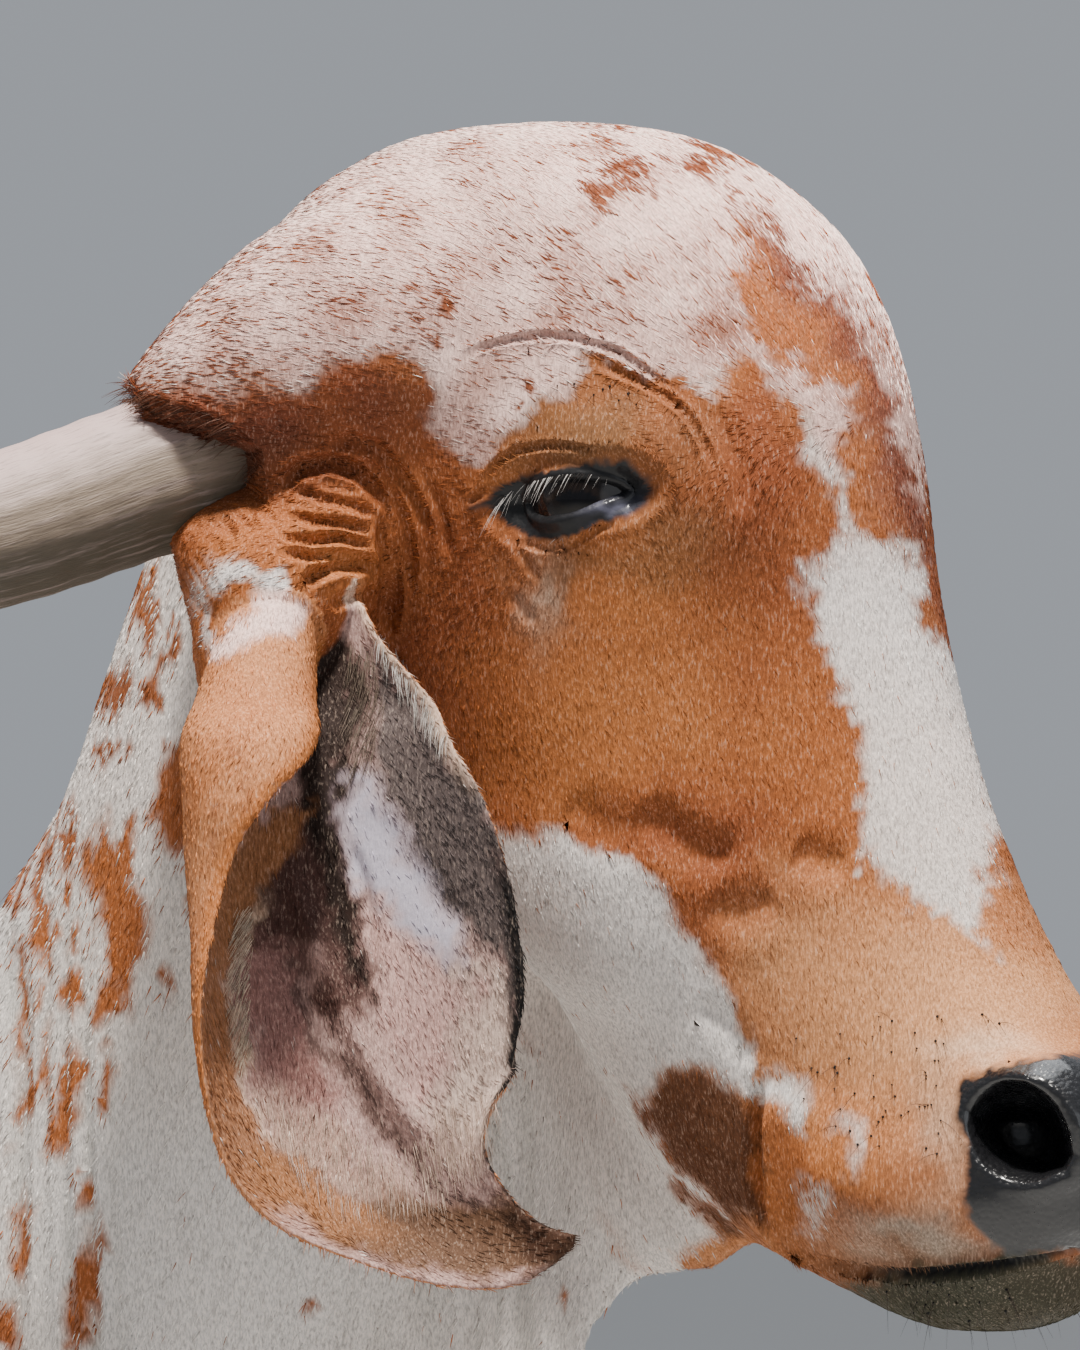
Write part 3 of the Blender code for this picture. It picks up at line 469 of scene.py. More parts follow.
def softness(points, onHead):
    legs = ramp(points[:, 2], 0.86, 0.60)
    tail = ramp(points[:, 0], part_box("tail")[1].x - 0.03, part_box("tail")[1].x - 0.06) * ramp(points[:, 2], 1.3, 1.2)
    low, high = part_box("dewlap")
    middle = (low.y + high.y) / 2
    dewlap = (ramp(np.abs(points[:, 1] - middle), 0.10, 0.05) * ramp(points[:, 0] - 0.45 * points[:, 2], 0.08, 0.14)
              * (1 - onHead))
    firm = np.maximum.reduce([onHead, legs, tail, dewlap])
    return 1 - 0.99 * firm


def united(obj, other):
    join = obj.modifiers.new("join", "BOOLEAN")
    join.operation = "UNION"
    join.solver = "MANIFOLD"
    join.object = other
    evaluated(obj)
    bpy.data.objects.remove(other)
    return obj


def triangulated(obj):
    bm = bmesh.new()
    bm.from_mesh(obj.data)
    bmesh.ops.triangulate(bm, faces=bm.faces)
    bm.to_mesh(obj.data)
    bm.free()


skin, (finePoints, fineTriangles) = skinBase()
print("skin base:", len(skin.data.polygons))
for side in (-1, 1):
    united(skin, earBody(side))
triangulated(skin)
print("skin with ears:", len(skin.data.polygons))


# the horn's first rows near the head and, round it from the top by the front, where the hair ends on it
hornPlan = {"rows": ((-.121, .112, .146, .0335), (-.136, .130, .153, .0335), (-.184, .188, .178, .0322),
                     (-.232, .246, .189, .0290), (-.268, .300, .174, .0250), (-.276, .345, .130, .0200),
                     (-.256, .372, .072, .0140), (-.220, .378, .018, .0055)),
            "start": (-.070, .062, .124, .0310), "angles": (0, 45, 90, 135, 180, 270, 360),
            "hairline": (.041, .018, -.013, -.006, .004, .022, .041)}


def sculptHornBase(near):
    base = np.array(hornPlan["rows"][0][:3]) * (1, -1, 1)
    axis = unit(np.array(hornPlan["rows"][2][:3]) * (1, -1, 1) - base)
    top = unit(np.array((0, 0, -1.0)) - axis * (np.array((0, 0, -1.0)) @ axis))
    front = np.cross(top, axis)
    front = front * np.sign(front @ np.array((viewSin, -viewCos, 0)))
    offset = near - base
    along = offset @ axis
    radial = offset - along[:, None] * axis
    reach = np.linalg.norm(radial, axis=1)
    angle = np.degrees(np.arctan2(radial @ front, radial @ top)) % 360
    gap = along - np.interp(angle, hornPlan["angles"], hornPlan["hairline"])
    radius = hornPlan["rows"][0][3]
    inner = np.minimum(reach, radius - 0.0045)
    outer = np.maximum(reach, radius + 0.0022)
    target = outer + (inner - outer) * ramp(gap, -0.0008, 0.0012)
    weight = ramp(reach, radius + 0.040, radius + 0.022) * ramp(along, -0.045, -0.030) * (reach > 1e-4)
    moved = reach + weight * (target - reach)
    return near + radial / np.maximum(reach, 1e-6)[:, None] * (moved - reach)[:, None]


def castPixels(pixels, tree):
    # places on the near side that these pixels of the photograph show, in the head's frame
    made = []
    for x, y in pixels:
        for slide in np.linspace(0, 0.5, 60):
            start, way = pixelRay(x + (650 - x) * slide, y + (640 - y) * slide)
            hit = tree.ray_cast(Vector(start), Vector(way))
            if hit[0] is not None:
                made.append(np.array(hit[0]))
                break
    return toHead(np.array(made))


def skinTree():
    mesh = skin.data
    return BVHTree.FromPolygons(pointsOf(mesh).tolist(), trianglesOf(mesh).tolist())


def refine(zones, length):
    # splits the edges longer than this near each zone's middle, on both sides of the head
    mesh = skin.data
    near = nearSide(toHead(pointsOf(mesh)))
    edges = edgesOf(mesh)
    a, b = near[edges[:, 0]], near[edges[:, 1]]
    middle = (a + b) / 2
    chosen = np.zeros(len(edges), bool)
    for centre, radius in zones:
        chosen |= ((middle - centre) ** 2).sum(1) < radius ** 2
    chosen &= ((a - b) ** 2).sum(1) > length ** 2
    bm = bmesh.new()
    bm.from_mesh(mesh)
    bm.edges.ensure_lookup_table()
    bmesh.ops.subdivide_edges(bm, edges=[bm.edges[i] for i in np.flatnonzero(chosen)], cuts=1)
    bmesh.ops.triangulate(bm, faces=[f for f in bm.faces if len(f.verts) > 3])
    bm.to_mesh(mesh)
    bm.free()


# folds of the near side, as lines of pixels, with depth and half width in metres
folds = {
    "browArc": ([(458, 364), (480, 348), (512, 339), (545, 335), (578, 339), (615, 350), (635, 363), (661, 383), (690, 398)],
                .0022, .0012),
    "browEdge": ([(588, 361), (615, 370), (641, 381), (661, 393), (681, 409), (694, 426), (708, 452), (714, 478)], .0021, .0014),
    "browSoft": ([(700, 400), (722, 430), (738, 470), (740, 520)], .0016, .0045),
    "lidFold": ([(480, 487), (496, 463), (516, 451), (542, 446), (569, 447), (592, 453), (615, 456)], .0021, .0013),
    "lidCorner": ([(466, 505), (476, 496), (486, 488)], .0018, .0014),
    "underLid": ([(500, 530), (512, 540), (539, 549), (562, 549), (578, 541), (600, 528), (622, 524)], .0012, .0013),
    "tearLine": ([(498, 528), (510, 540), (526, 564), (539, 584)], .0010, .0020),
    "tearLineLow": ([(506, 594), (518, 606), (535, 624)], .0009, .0028),
    "earTopArc": ([(276, 492), (299, 470), (331, 463), (359, 472), (377, 490), (386, 511)], .0055, .0024),
    "rollArc1": ([(322, 450), (350, 441), (377, 450), (400, 477), (419, 509), (430, 541)], .0036, .0024),
    "rollArc2": ([(345, 456), (368, 462), (390, 486), (402, 515), (409, 560), (406, 600)], .0034, .0022),
    "rollArc3": ([(372, 478), (384, 495), (392, 520), (398, 560), (396, 620)], .0026, .0018),
    "rollArc4": ([(425, 480), (441, 520), (446, 560)], .0012, .0030),
    "earWrinkle1": ([(290, 488), (322, 498), (354, 505), (377, 515)], .0026, .0016),
    "earWrinkle2": ([(281, 513), (313, 520), (340, 523), (372, 531)], .0032, .0017),
    "earWrinkle3": ([(276, 536), (313, 540), (340, 537), (374, 547)], .0032, .0017),
    "earWrinkle4": ([(274, 552), (313, 557), (350, 555), (376, 558)], .0032, .0017),
    "earWrinkle5": ([(304, 588), (317, 574), (340, 565), (368, 565), (380, 570)], .0048, .0022),
    "earWrinkle6": ([(330, 606), (350, 598), (378, 594)], .0022, .0024),
    "rootEdge": ([(381, 508), (386, 540), (389, 580), (388, 640)], .0045, .0026),
    "hornTuck": ([(190, 550), (205, 545), (235, 520), (262, 500), (284, 488)], .0045, .0030),
    "cheekFold1": ([(640, 800), (665, 832), (690, 850), (740, 862)], .0038, .0080),
    "cheekFold2": ([(790, 850), (820, 862), (850, 865)], .0028, .0070),
    "cheekFold3": ([(700, 905), (740, 915), (780, 900)], .0026, .0070),
    "cheekFold4": ([(560, 800), (600, 830), (650, 850)], .0020, .0090),
    "mouthCorner": ([(757, 1077), (757, 1128), (757, 1160), (760, 1198), (770, 1230), (786, 1250), (824, 1275)], .0070, .0036),
    "lipDimple": ([(690, 1000), (730, 1030), (752, 1070)], .0022, .0060),
    "chinFold": ([(880, 1290), (930, 1302), (980, 1300)], .0010, .0030),
}
# grooves (depth below 0) and ridges inside the cup of the ear
earFolds = {
    "groove": ([(258, 900), (288, 971), (313, 1026), (344, 1088), (381, 1138), (418, 1175), (461, 1200)], .0019, .0060),
    "ridge": ([(282, 850), (313, 934), (340, 1002), (371, 1063), (407, 1113), (445, 1156)], -.0030, .0055),
    "lip": ([(345, 830), (362, 880), (372, 930), (370, 970), (352, 1005)], .0018, .0026),
    "rimBand": ([(262, 870), (238, 920), (226, 980), (230, 1060), (256, 1120)], .0012, .0040),
    "sheen": ([(372, 800), (402, 860), (440, 905), (478, 935)], .0014, .0070),
}


def betweens(line, step):
    made = []
    for a, b in zip(line, line[1:]):
        count = max(1, int(np.linalg.norm(b - a) / step))
        made += [a + (b - a) * k / count for k in range(count)]
    return made + [line[-1]]


eyeNear = np.array((headPlan["eyeAhead"], -headPlan["eyeSide"], headPlan["eyeBelow"]))
nostrilNear = np.array((0.258, -0.056, 0.426))
browRidge = {"middle": (.132, -.078, .158), "reach": (.034, .028, .040), "height": 0.0105}
mouthStep = {"outline": [(757, 1077), (757, 1128), (757, 1160), (760, 1198), (770, 1230), (786, 1250), (824, 1275), (850, 1282),
                         (960, 1290), (960, 1077)], "height": 0.0050, "width": 0.0035}
mouthLine = ((.138, -.051, .4825), (.150, -.053, .489), (.175, -.055, .4950), (.205, -.055, .4925),
             (.222, -.053, .4885), (.240, -.051, .4865), (.262, -.042, .4850), (.282, -.024, .4845), (.290, 0, .484))
hornBaseNear = np.array(hornPlan["rows"][0][:3]) * (1, -1, 1)
baseTree = skinTree()
foldLines = {name: castPixels(pixels, baseTree) for name, (pixels, depth, width) in folds.items()}
earLines = {name: castPixels(pixels, baseTree) for name, (pixels, depth, width) in earFolds.items()}
foldZones = [(p, 0.009) for line in foldLines.values() for p in betweens(line, 0.008)]
refine(foldZones + [(hornBaseNear, 0.060)], 0.0030)
refine(foldZones, 0.0019)
refine([(eyeNear, 0.060), (nostrilNear, 0.050)], 0.0026)
refine([(eyeNear, 0.046), (nostrilNear, 0.036)] + [(np.array(p), 0.014) for p in mouthLine], 0.0017)
refine([(eyeNear, 0.038)], 0.0013)
print("skin refined:", len(skin.data.polygons))

def distanceToLine(points, line):
    line = np.asarray(line, float)
    lengths = np.concatenate([[0], np.cumsum(np.linalg.norm(np.diff(line, axis=0), axis=1))])
    best = np.full(len(points), 1e9)
    along = np.zeros(len(points))
    for i, (a, b) in enumerate(zip(line, line[1:])):
        d = b - a
        t = np.clip(((points - a) @ d) / max(d @ d, 1e-12), 0, 1)
        gap = np.linalg.norm(points - a - t[:, None] * d, axis=1)
        closer = gap < best
        best = np.where(closer, gap, best)
        along = np.where(closer, (lengths[i] + t * (lengths[i + 1] - lengths[i])) / lengths[-1], along)
    return best, along


def foldDepth(near, line, depth, width, ridge=0.24):
    low, high = np.min(line, axis=0) - 5 * width, np.max(line, axis=0) + 5 * width
    chosen = np.flatnonzero(np.all((near > low) & (near < high), axis=1))
    gap, along = distanceToLine(near[chosen], line)
    taper = ramp(along, 0, 0.2) * ramp(along, 1, 0.8)
    made = np.zeros(len(near))
    made[chosen] = taper * depth * (-np.exp(-(gap / width) ** 2) + ridge * np.exp(-((gap - 2.2 * width) / width) ** 2))
    return made


print("stage: sculpting")
# opening of the near eye and of the near nostril, in pixels
eyeOpening = [(503, 506), (515, 491), (537, 482), (562, 477), (588, 475), (612, 476), (632, 480), (643, 487),
              (632, 494), (612, 499), (590, 506), (566, 514), (540, 519), (516, 516)]
lidOutline = [(482, 500), (496, 489), (509, 482), (539, 472), (572, 465), (602, 461), (628, 463), (642, 474), (652, 488),
              (647, 503), (628, 516), (602, 523), (582, 532), (555, 539), (529, 539), (509, 528), (496, 514)]
lidPlan = {"edge": 0.0003, "thick": 0.0026, "rounding": 0.0022, "hidden": 0.0030, "blendFrom": 0.004, "blendTo": 0.014}
nostrilOpening = [(970, 1112), (984, 1097), (1006, 1091), (1040, 1092), (1059, 1106), (1072, 1130), (1076, 1155),
                  (1068, 1172), (1041, 1178), (1011, 1172), (988, 1157), (974, 1135)]
nostrilPlan = {"depth": 0.024, "slope": 0.010, "rim": 0.0028, "way": (-0.45, 0.85, 0.15)}
lows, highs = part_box("eye_right")
eyeRadius = (highs.z - lows.z) / 2


def sculptEye(near):
    offset = near - eyeNear
    reach = np.linalg.norm(offset, axis=1)
    outward = offset @ np.array((viewSin * 0.3, -1, 0)) / np.maximum(reach, 1e-9)
    chosen = np.flatnonzero((reach < 0.060) & (outward > 0.15))
    pixels = pixelOf(near[chosen])
    distance, nearest = insideOutline(pixels, eyeOpening)
    snap = np.abs(distance) * photoScale < 0.0006
    shift = (nearest - pixels)[snap] * photoScale
    moved = near[chosen]
    moved[snap] += shift[:, :1] * np.array((viewCos, viewSin, 0)) + shift[:, 1:] * np.array((0, 0, 1.0))
    distance = np.where(snap, 0.0, distance * photoScale)
    offset = moved - eyeNear
    reach = np.linalg.norm(offset, axis=1)
    lip = eyeRadius + lidPlan["edge"] + lidPlan["thick"] * np.sqrt(np.clip(distance / lidPlan["rounding"], 0, 1))
    target = np.where(distance < 0, eyeRadius - lidPlan["hidden"], lip)
    weight = ramp(distance, lidPlan["blendTo"], lidPlan["blendFrom"])
    weight = np.where(reach > eyeRadius + 0.016, weight * ramp(reach, eyeRadius + 0.030, eyeRadius + 0.016), weight)
    reached = reach + weight * (target - reach)
    near[chosen] = eyeNear + offset / reach[:, None] * reached[:, None]
    return near


def sculptNostril(near):
    chosen = np.flatnonzero((((near - nostrilNear) ** 2).sum(1) < 0.06 ** 2) & (near[:, 1] < -0.012))
    distance = insideOutline(pixelOf(near[chosen]), nostrilOpening)[0] * photoScale
    depth = nostrilPlan["depth"] * ramp(-distance, 0, nostrilPlan["slope"])
    near[chosen] += unit(np.array(nostrilPlan["way"])) * depth[:, None]
    rim = nostrilPlan["rim"] * np.exp(-((distance - 0.004) / 0.005) ** 2)
    near[chosen] -= unit(np.array(nostrilPlan["way"])) * rim[:, None]
    return near


earFine = earMiddle(24, 30)
earSamples = earFine.reshape(-1, 3)
earSampleIn = earNormals(earFine).reshape(-1, 3)
earColumns = np.broadcast_to(np.linspace(-1, 1, earFine.shape[1]), earFine.shape[:2]).ravel()
earTree = KDTree(len(earSamples))
for i, p in enumerate(earSamples):
    earTree.insert(Vector(p), i)
earTree.balance()
earAcross = unit(np.gradient(earFine, axis=1)).reshape(-1, 3)
earDown = unit(np.gradient(earFine, axis=0)).reshape(-1, 3)


def earPlaces(near):
    # for each point: index of the nearest place on the ear's leaf, or -1, and whether it is inside the cup
    low, high = earSamples.min(0) - 0.01, earSamples.max(0) + 0.01
    index = np.full(len(near), -1)
    for i in np.flatnonzero(np.all((near > low) & (near < high), axis=1)):
        _, found, gap = earTree.find(near[i])
        if gap < 0.0055:
            index[i] = found
    inside = ((near - earSamples[index]) * earSampleIn[index]).sum(1) > 0
    return index, inside & (index >= 0)


def sculptSkin():
    mesh = skin.data
    tree = skinTree()
    points = pointsOf(mesh)
    triangles, edges = trianglesOf(mesh), edgesOf(mesh)
    head = toHead(points)
    sign = np.where(head[:, 1] > 0, -1.0, 1.0)
    near = nearSide(head)
    smoothZone = ramp(np.linalg.norm(near - eyeNear, axis=1), 0.062, 0.045)
    smoothZone = np.maximum(smoothZone, ramp(np.linalg.norm(near - nostrilNear, axis=1), 0.055, 0.040))
    near = nearSide(toHead(relaxed(points, edges, 0.5 * smoothZone, 4)))
    near = sculptHornBase(sculptNostril(sculptEye(near)))
    points = fromHead(near * np.stack([np.ones(len(near)), sign, np.ones(len(near))], 1))
    normals = normalsOf(points, triangles)
    move = np.zeros(len(points))
    # painted shade for the colour: the deeper a fold cuts in, the darker the skin and the tufts there
    foldShade = np.zeros(len(points))
    for name, (pixels, depth, width) in folds.items():
        made = foldDepth(near, foldLines[name], depth, width)
        move += made
        foldShade = np.maximum(foldShade, np.clip(-made / 0.0036, 0, 1))
    ear, cup = earPlaces(near)
    for name, (pixels, depth, width) in earFolds.items():
        made = foldDepth(near, earLines[name], depth, width, 0.2 if depth > 0 else 0) * cup
        move += made
        foldShade = np.maximum(foldShade, 0.6 * np.clip(-made / 0.0036, 0, 1))
    pixels = pixelOf(near)
    gap = insideOutline(pixels, mouthStep["outline"])[0] * photoScale
    raised = ramp(-gap, -0.0005, mouthStep["width"]) * ramp(pixels[:, 0], 900, 790) * ramp(pixels[:, 1], 1077, 1125)
    move += mouthStep["height"] * raised * (near[:, 0] > 0.03) * (near[:, 1] < -0.02)
    mouth = np.array(mouthLine)
    line = []
    for p in smoothRows(mouth, 4):
        found = tree.find_nearest(Vector(fromHead(p)))
        line.append(toHead(np.array([found[0]]))[0])
    move += foldDepth(near, np.array(line), 0.0060, 0.0021, 0.30)
    lips = np.exp(-(distanceToLine(near, line)[0] / 0.0026) ** 2)
    ridge = (((near - browRidge["middle"]) / browRidge["reach"]) ** 2).sum(1)
    move += browRidge["height"] * np.exp(-ridge) * (near[:, 1] < -0.01)
    points = points + normals * move[:, None]
    mesh.vertices.foreach_set("co", points.astype(np.float32).ravel())
    mesh.update()
    return foldShade, {"ear": ear, "cup": cup, "lips": lips}


skinFoldShade, skinKept = sculptSkin()


print("stage: markings")
# colours of the coat and bare skin, linear; some stand in part or whole for painted shade and painted sheen (the
# chin's, the ear's hollow and purple wall, the lilac inside the ear, the lower lid's lilac and the pale grey of the
# shaded coat)
colours = {"white": (.86, .81, .78), "roanWhite": (.88, .60, .53), "cream": (.72, .49, .33),
           "orange": (.35, .102, .026), "orangeLit": (.46, .155, .044), "redBrown": (.150, .036, .018),
           "horseRed": (.22, .052, .016), "darkBrown": (.050, .020, .010), "tan": (.62, .29, .130),
           "olive": (.17, .080, .032), "black": (.008, .008, .009), "lilacSheen": (.40, .38, .47), "grey": (.38, .34, .28),
           "lidSheenLilac": (.085, .085, .12), "chinShadeGrey": (.036, .038, .023), "earTan": (.53, .21, .085),
           "earPink": (.58, .34, .30), "earHair": (.72, .53, .44), "earDark": (.085, .072, .070),
           "earHollowShade": (.010, .005, .004), "earPurpleShade": (.055, .022, .018), "earOlive": (.11, .052, .024),
           "earMauve": (.24, .110, .095), "paintedShadeGrey": (.42, .41, .37),
           "earBrown": (.40, .235, .175), "earRim": (.30, .12, .045), "earCup": (.40, .24, .21),
           "udder": (.56, .35, .29)}

# where the roan of the dome ends, in pixels of the near side
roanOutline = [(-300, -400), (-300, 330), (60, 402), (100, 392), (150, 375), (200, 380), (250, 372), (300, 385), (331, 362),
               (380, 350), (425, 362), (433, 400), (428, 437), (455, 462), (481, 465), (500, 431), (550, 387), (588, 364),
               (650, 374), (690, 384), (735, 372), (763, 358), (845, 460), (905, 540), (926, 524), (940, 486), (1300, 486),
               (1300, -400)]
frontPatch = [(744, 231), (768, 233), (796, 257), (829, 290), (850, 309), (867, 337), (876, 366), (891, 404), (900, 441),
              (912, 479), (924, 512), (929, 545), (931, 569), (919, 555), (895, 545), (872, 522), (853, 498), (848, 460),
              (857, 423), (848, 399), (820, 385), (796, 356), (772, 356), (753, 328), (735, 304), (739, 281), (756, 267)]
frontEdge = ((231, 257, 290, 337, 404, 479, 545, 569), (768, 796, 829, 867, 891, 912, 929, 931))
farBrow = [(933, 480), (1000, 480), (1000, 560), (944, 560), (932, 545), (927, 515)]
blazeOutline = [(763, 356), (796, 404), (820, 470), (834, 498), (843, 522), (834, 560), (805, 588), (805, 612), (822, 640),
                (850, 690), (862, 762), (862, 850), (890, 885), (931, 908), (960, 925), (985, 943), (987, 900), (1000, 812),
                (1060, 812), (1060, 665), (960, 655), (931, 640), (926, 597), (919, 564), (895, 545), (867, 522), (848, 498),
                (843, 460), (855, 427), (853, 404), (820, 389), (796, 361)]
cheekOutline = [(300, 800), (400, 845), (525, 835), (600, 850), (650, 880), (665, 930), (700, 960), (728, 990), (747, 1030),
                (757, 1066), (773, 1077), (798, 1086), (813, 1096), (808, 1124), (792, 1118), (766, 1100), (722, 1085),
                (664, 1066), (638, 1090), (638, 1122), (658, 1147), (677, 1186), (702, 1207), (735, 1230), (700, 1246),
                (668, 1275), (640, 1340), (300, 1340)]
smallWhites = [[(845, 1118), (862, 1116), (866, 1140), (854, 1165), (846, 1150)],
               [(795, 1185), (825, 1188), (832, 1205), (815, 1235), (800, 1225)],
               [(1003, 808), (1010, 812), (1022, 870), (1014, 880)]]
darkPatch = [(664, 1064), (696, 1080), (715, 1080), (754, 1102), (758, 1160), (766, 1230), (741, 1234), (709, 1211), (677, 1186),
             (658, 1147), (638, 1122), (638, 1090)]
muzzleOutline = [(955, 1096), (962, 1077), (990, 1067), (1029, 1058), (1080, 1051), (1300, 1040), (1300, 1260), (1080, 1252),
                 (1003, 1256), (990, 1243), (971, 1224), (962, 1192), (968, 1166), (965, 1141), (955, 1115)]
chinOutline = [(836, 1290), (850, 1284), (901, 1277), (939, 1265), (984, 1262), (1029, 1254), (1080, 1246), (1300, 1240),
               (1300, 1450), (800, 1450)]
redSpots = [(412, 288, 16, 12), (460, 298, 12, 9), (590, 212, 12, 9), (602, 182, 18, 9), (636, 177, 12, 7), (625, 135, 26, 6),
            (716, 160, 30, 9), (745, 185, 10, 6), (590, 155, 8, 5), (440, 335, 7, 9), (520, 392, 9, 5), (548, 330, 6, 4),
            (610, 170, 8, 14), (655, 195, 8, 5), (700, 150, 12, 5)]
# soft colour on the brown parts of the near side: x, y, reach across, reach down, colour, strength
tints = [(600, 430, 110, 60, "olive", .88), (650, 390, 55, 22, "orange", .6), (700, 500, 60, 90, "horseRed", .5),
         (685, 540, 60, 40, "olive", .7), (545, 600, 20, 42, "grey", .8), (640, 690, 150, 110, "orangeLit", .85),
         (560, 760, 60, 60, "orangeLit", .6), (445, 590, 45, 120, "horseRed", .7), (400, 700, 60, 60, "horseRed", .5),
         (700, 830, 110, 45, "horseRed", .75), (700, 940, 60, 60, "horseRed", .55), (600, 565, 80, 24, "olive", .5),
         (850, 330, 30, 50, "horseRed", .4), (770, 480, 50, 90, "horseRed", .75), (760, 600, 60, 130, "horseRed", .5),
         (915, 640, 30, 120, "redBrown", .6), (880, 1050, 130, 80, "tan", .80), (930, 970, 90, 80, "tan", .85),
         (800, 950, 60, 60, "tan", .6), (1005, 1010, 70, 45, "tan", .9), (830, 1190, 70, 70, "orangeLit", .7),
         (920, 1190, 40, 60, "cream", .3), (940, 1120, 26, 60, "cream", .45), (980, 1045, 50, 16, "cream", .6),
         (860, 1150, 50, 60, "orangeLit", .6), (905, 1175, 32, 40, "orange", .6), (850, 1215, 34, 24, "redBrown", .4),
         # the chin entry here is partly the chin's own dark hair and partly painted shade tinted green
         (920, 1240, 80, 20, "grey", .7), (960, 1300, 160, 45, "chinShadeGrey", .97), (790, 1170, 20, 60, "orange", .8),
         (700, 1250, 60, 22, "tan", .55), (180, 430, 110, 70, "redBrown", .9), (270, 430, 60, 50, "redBrown", .9),
         (378, 398, 50, 50, "redBrown", .75), (350, 470, 60, 50, "horseRed", .8), (320, 520, 60, 30, "orange", .8),
         # the darkBrown entry at x 225, y 455 is painted shade under the horn's base, towards the ear's root
         (330, 560, 60, 26, "orangeLit", .5), (225, 455, 80, 30, "darkBrown", .55), (840, 560, 30, 60, "horseRed", .6)]
# brown spots on the near side of the neck: x, y, reach across, reach down, lean
neckSpots = [(136, 605, 13, 45, -.2), (101, 676, 15, 38, -.2), (171, 797, 25, 62, 0), (116, 905, 26, 88, -.15),
             (108, 1003, 10, 42, 0),
             (71, 812, 6, 25, -.1), (45, 832, 8, 30, -.2), (28, 905, 12, 62, -.15), (68, 857, 6, 20, -.1), (43, 915, 9, 30, -.1),
             (68, 938, 8, 12, 0), (45, 978, 5, 18, 0), (66, 983, 10, 24, 0), (161, 988, 8, 21, .1), (103, 1089, 13, 24, 0),
             (55, 1109, 14, 56, .1), (76, 1190, 8, 17, 0), (20, 1235, 14, 45, .1), (83, 1290, 20, 55, .1), (302, 1310, 7, 9, 0),
             (443, 1315, 6, 9, 0), (551, 1293, 5, 14, 0), (194, 902, 5, 18, 0), (5, 1320, 14, 40, 0), (14, 1000, 8, 60, 0),
             (103, 755, 5, 14, 0), (120, 740, 4, 12, 0), (30, 1010, 5, 30, 0), (150, 690, 4, 20, 0), (165, 640, 4, 30, 0)]


def inSpots(pixels, spots):
    made = np.full(len(pixels), 9.0)
    for x, y, wide, tall, *lean in spots:
        slant = lean[0] if lean else 0
        dx = pixels[:, 0] - x - slant * (y - pixels[:, 1])
        dy = pixels[:, 1] - y
        made = np.minimum(made, np.sqrt((dx / wide) ** 2 + (dy / tall) ** 2))
    return made  # under 1 inside a spot


def edge(distance, soft):
    return np.clip(0.5 - distance / soft, 0, 1)


# inside of the cup, as outlines in pixels with a colour, softness in pixels and strength
earInsides = [
    ([(367, 645), (393, 651), (438, 728), (483, 780), (503, 825), (515, 870), (525, 915), (528, 967), (525, 1032), (515, 1070),
      (506, 1032), (498, 967), (478, 941), (451, 915), (425, 883), (399, 838), (374, 793), (364, 741)], "earDark", 24, .92),
    # the lilac strip is partly the bare inner skin's own colour and partly a painted sheen
    ([(338, 780), (367, 793), (393, 838), (419, 870), (444, 909), (457, 948), (451, 967), (425, 961), (393, 922), (367, 883),
      (349, 838)], "lilacSheen", 32, .9),
    ([(367, 890), (399, 928), (438, 967), (464, 1000), (451, 1064), (425, 1109), (393, 1057), (367, 1006), (370, 941)],
     "earPink", 22, .95),
    ([(464, 967), (503, 993), (509, 1070), (496, 1148), (464, 1161), (425, 1115), (457, 1070), (470, 1006)], "earHair", 30, .9),
    ([(251, 1070), (341, 1128), (374, 1161), (419, 1199), (399, 1215), (335, 1199), (283, 1148)], "earBrown", 26, .85),
    ([(245, 941), (264, 903), (290, 941), (319, 1019), (332, 1070), (338, 1118), (296, 1112), (257, 1065), (241, 1019)],
     "earMauve", 24, .95),
    # the ear's left inner wall: partly its purple-brown skin and partly painted shade under the rolled rear flap
    ([(225, 900), (245, 840), (290, 800), (319, 790), (340, 819), (367, 915), (367, 967), (351, 1019), (328, 1006),
      (303, 941), (262, 940), (235, 940)],
     "earPurpleShade", 20, .95),
    # painted shade: the deep hollow of the ear, near black
    ([(300, 620), (341, 630), (360, 677), (352, 748), (345, 793), (346, 832), (362, 883), (364, 941), (362, 993), (345, 967),
      (330, 915), (312, 850), (300, 760)], "earHollowShade", 16, .97),
    # painted shade along the groove inside the cup
    ([(290, 941), (328, 1025), (374, 1108), (425, 1172), (483, 1192), (483, 1206), (425, 1188), (368, 1122), (320, 1040),
      (284, 950)], "earHollowShade", 12, .65),
    ([(264, 1140), (296, 1161), (340, 1195), (393, 1200), (438, 1199), (490, 1199), (541, 1212), (600, 1215), (600, 1262),
      (515, 1280), (451, 1275), (393, 1265), (335, 1245), (280, 1205), (240, 1160)], "earOlive", 20, .95),
    ([(484, 1150), (500, 1165), (530, 1198), (600, 1205), (600, 1262), (540, 1262), (505, 1230)], "darkBrown", 22, .97)]
earRimBand = [(325, 809), (303, 838), (277, 870), (257, 903), (243, 941), (236, 980), (236, 1032), (246, 1083), (268, 1128),
              (309, 1170), (348, 1200), (393, 1226), (470, 1262), (450, 1300), (300, 1270), (210, 1190), (170, 1080),
              (170, 960), (200, 880), (260, 815)]
earWhite = [(202, 573), (221, 562), (244, 564), (258, 578), (285, 578), (301, 619), (285, 631), (258, 624), (244, 638),
            (230, 656), (212, 656), (202, 628)]
earWhiteHole = [(209, 582), (244, 582), (251, 596), (239, 615), (225, 638), (212, 628)]


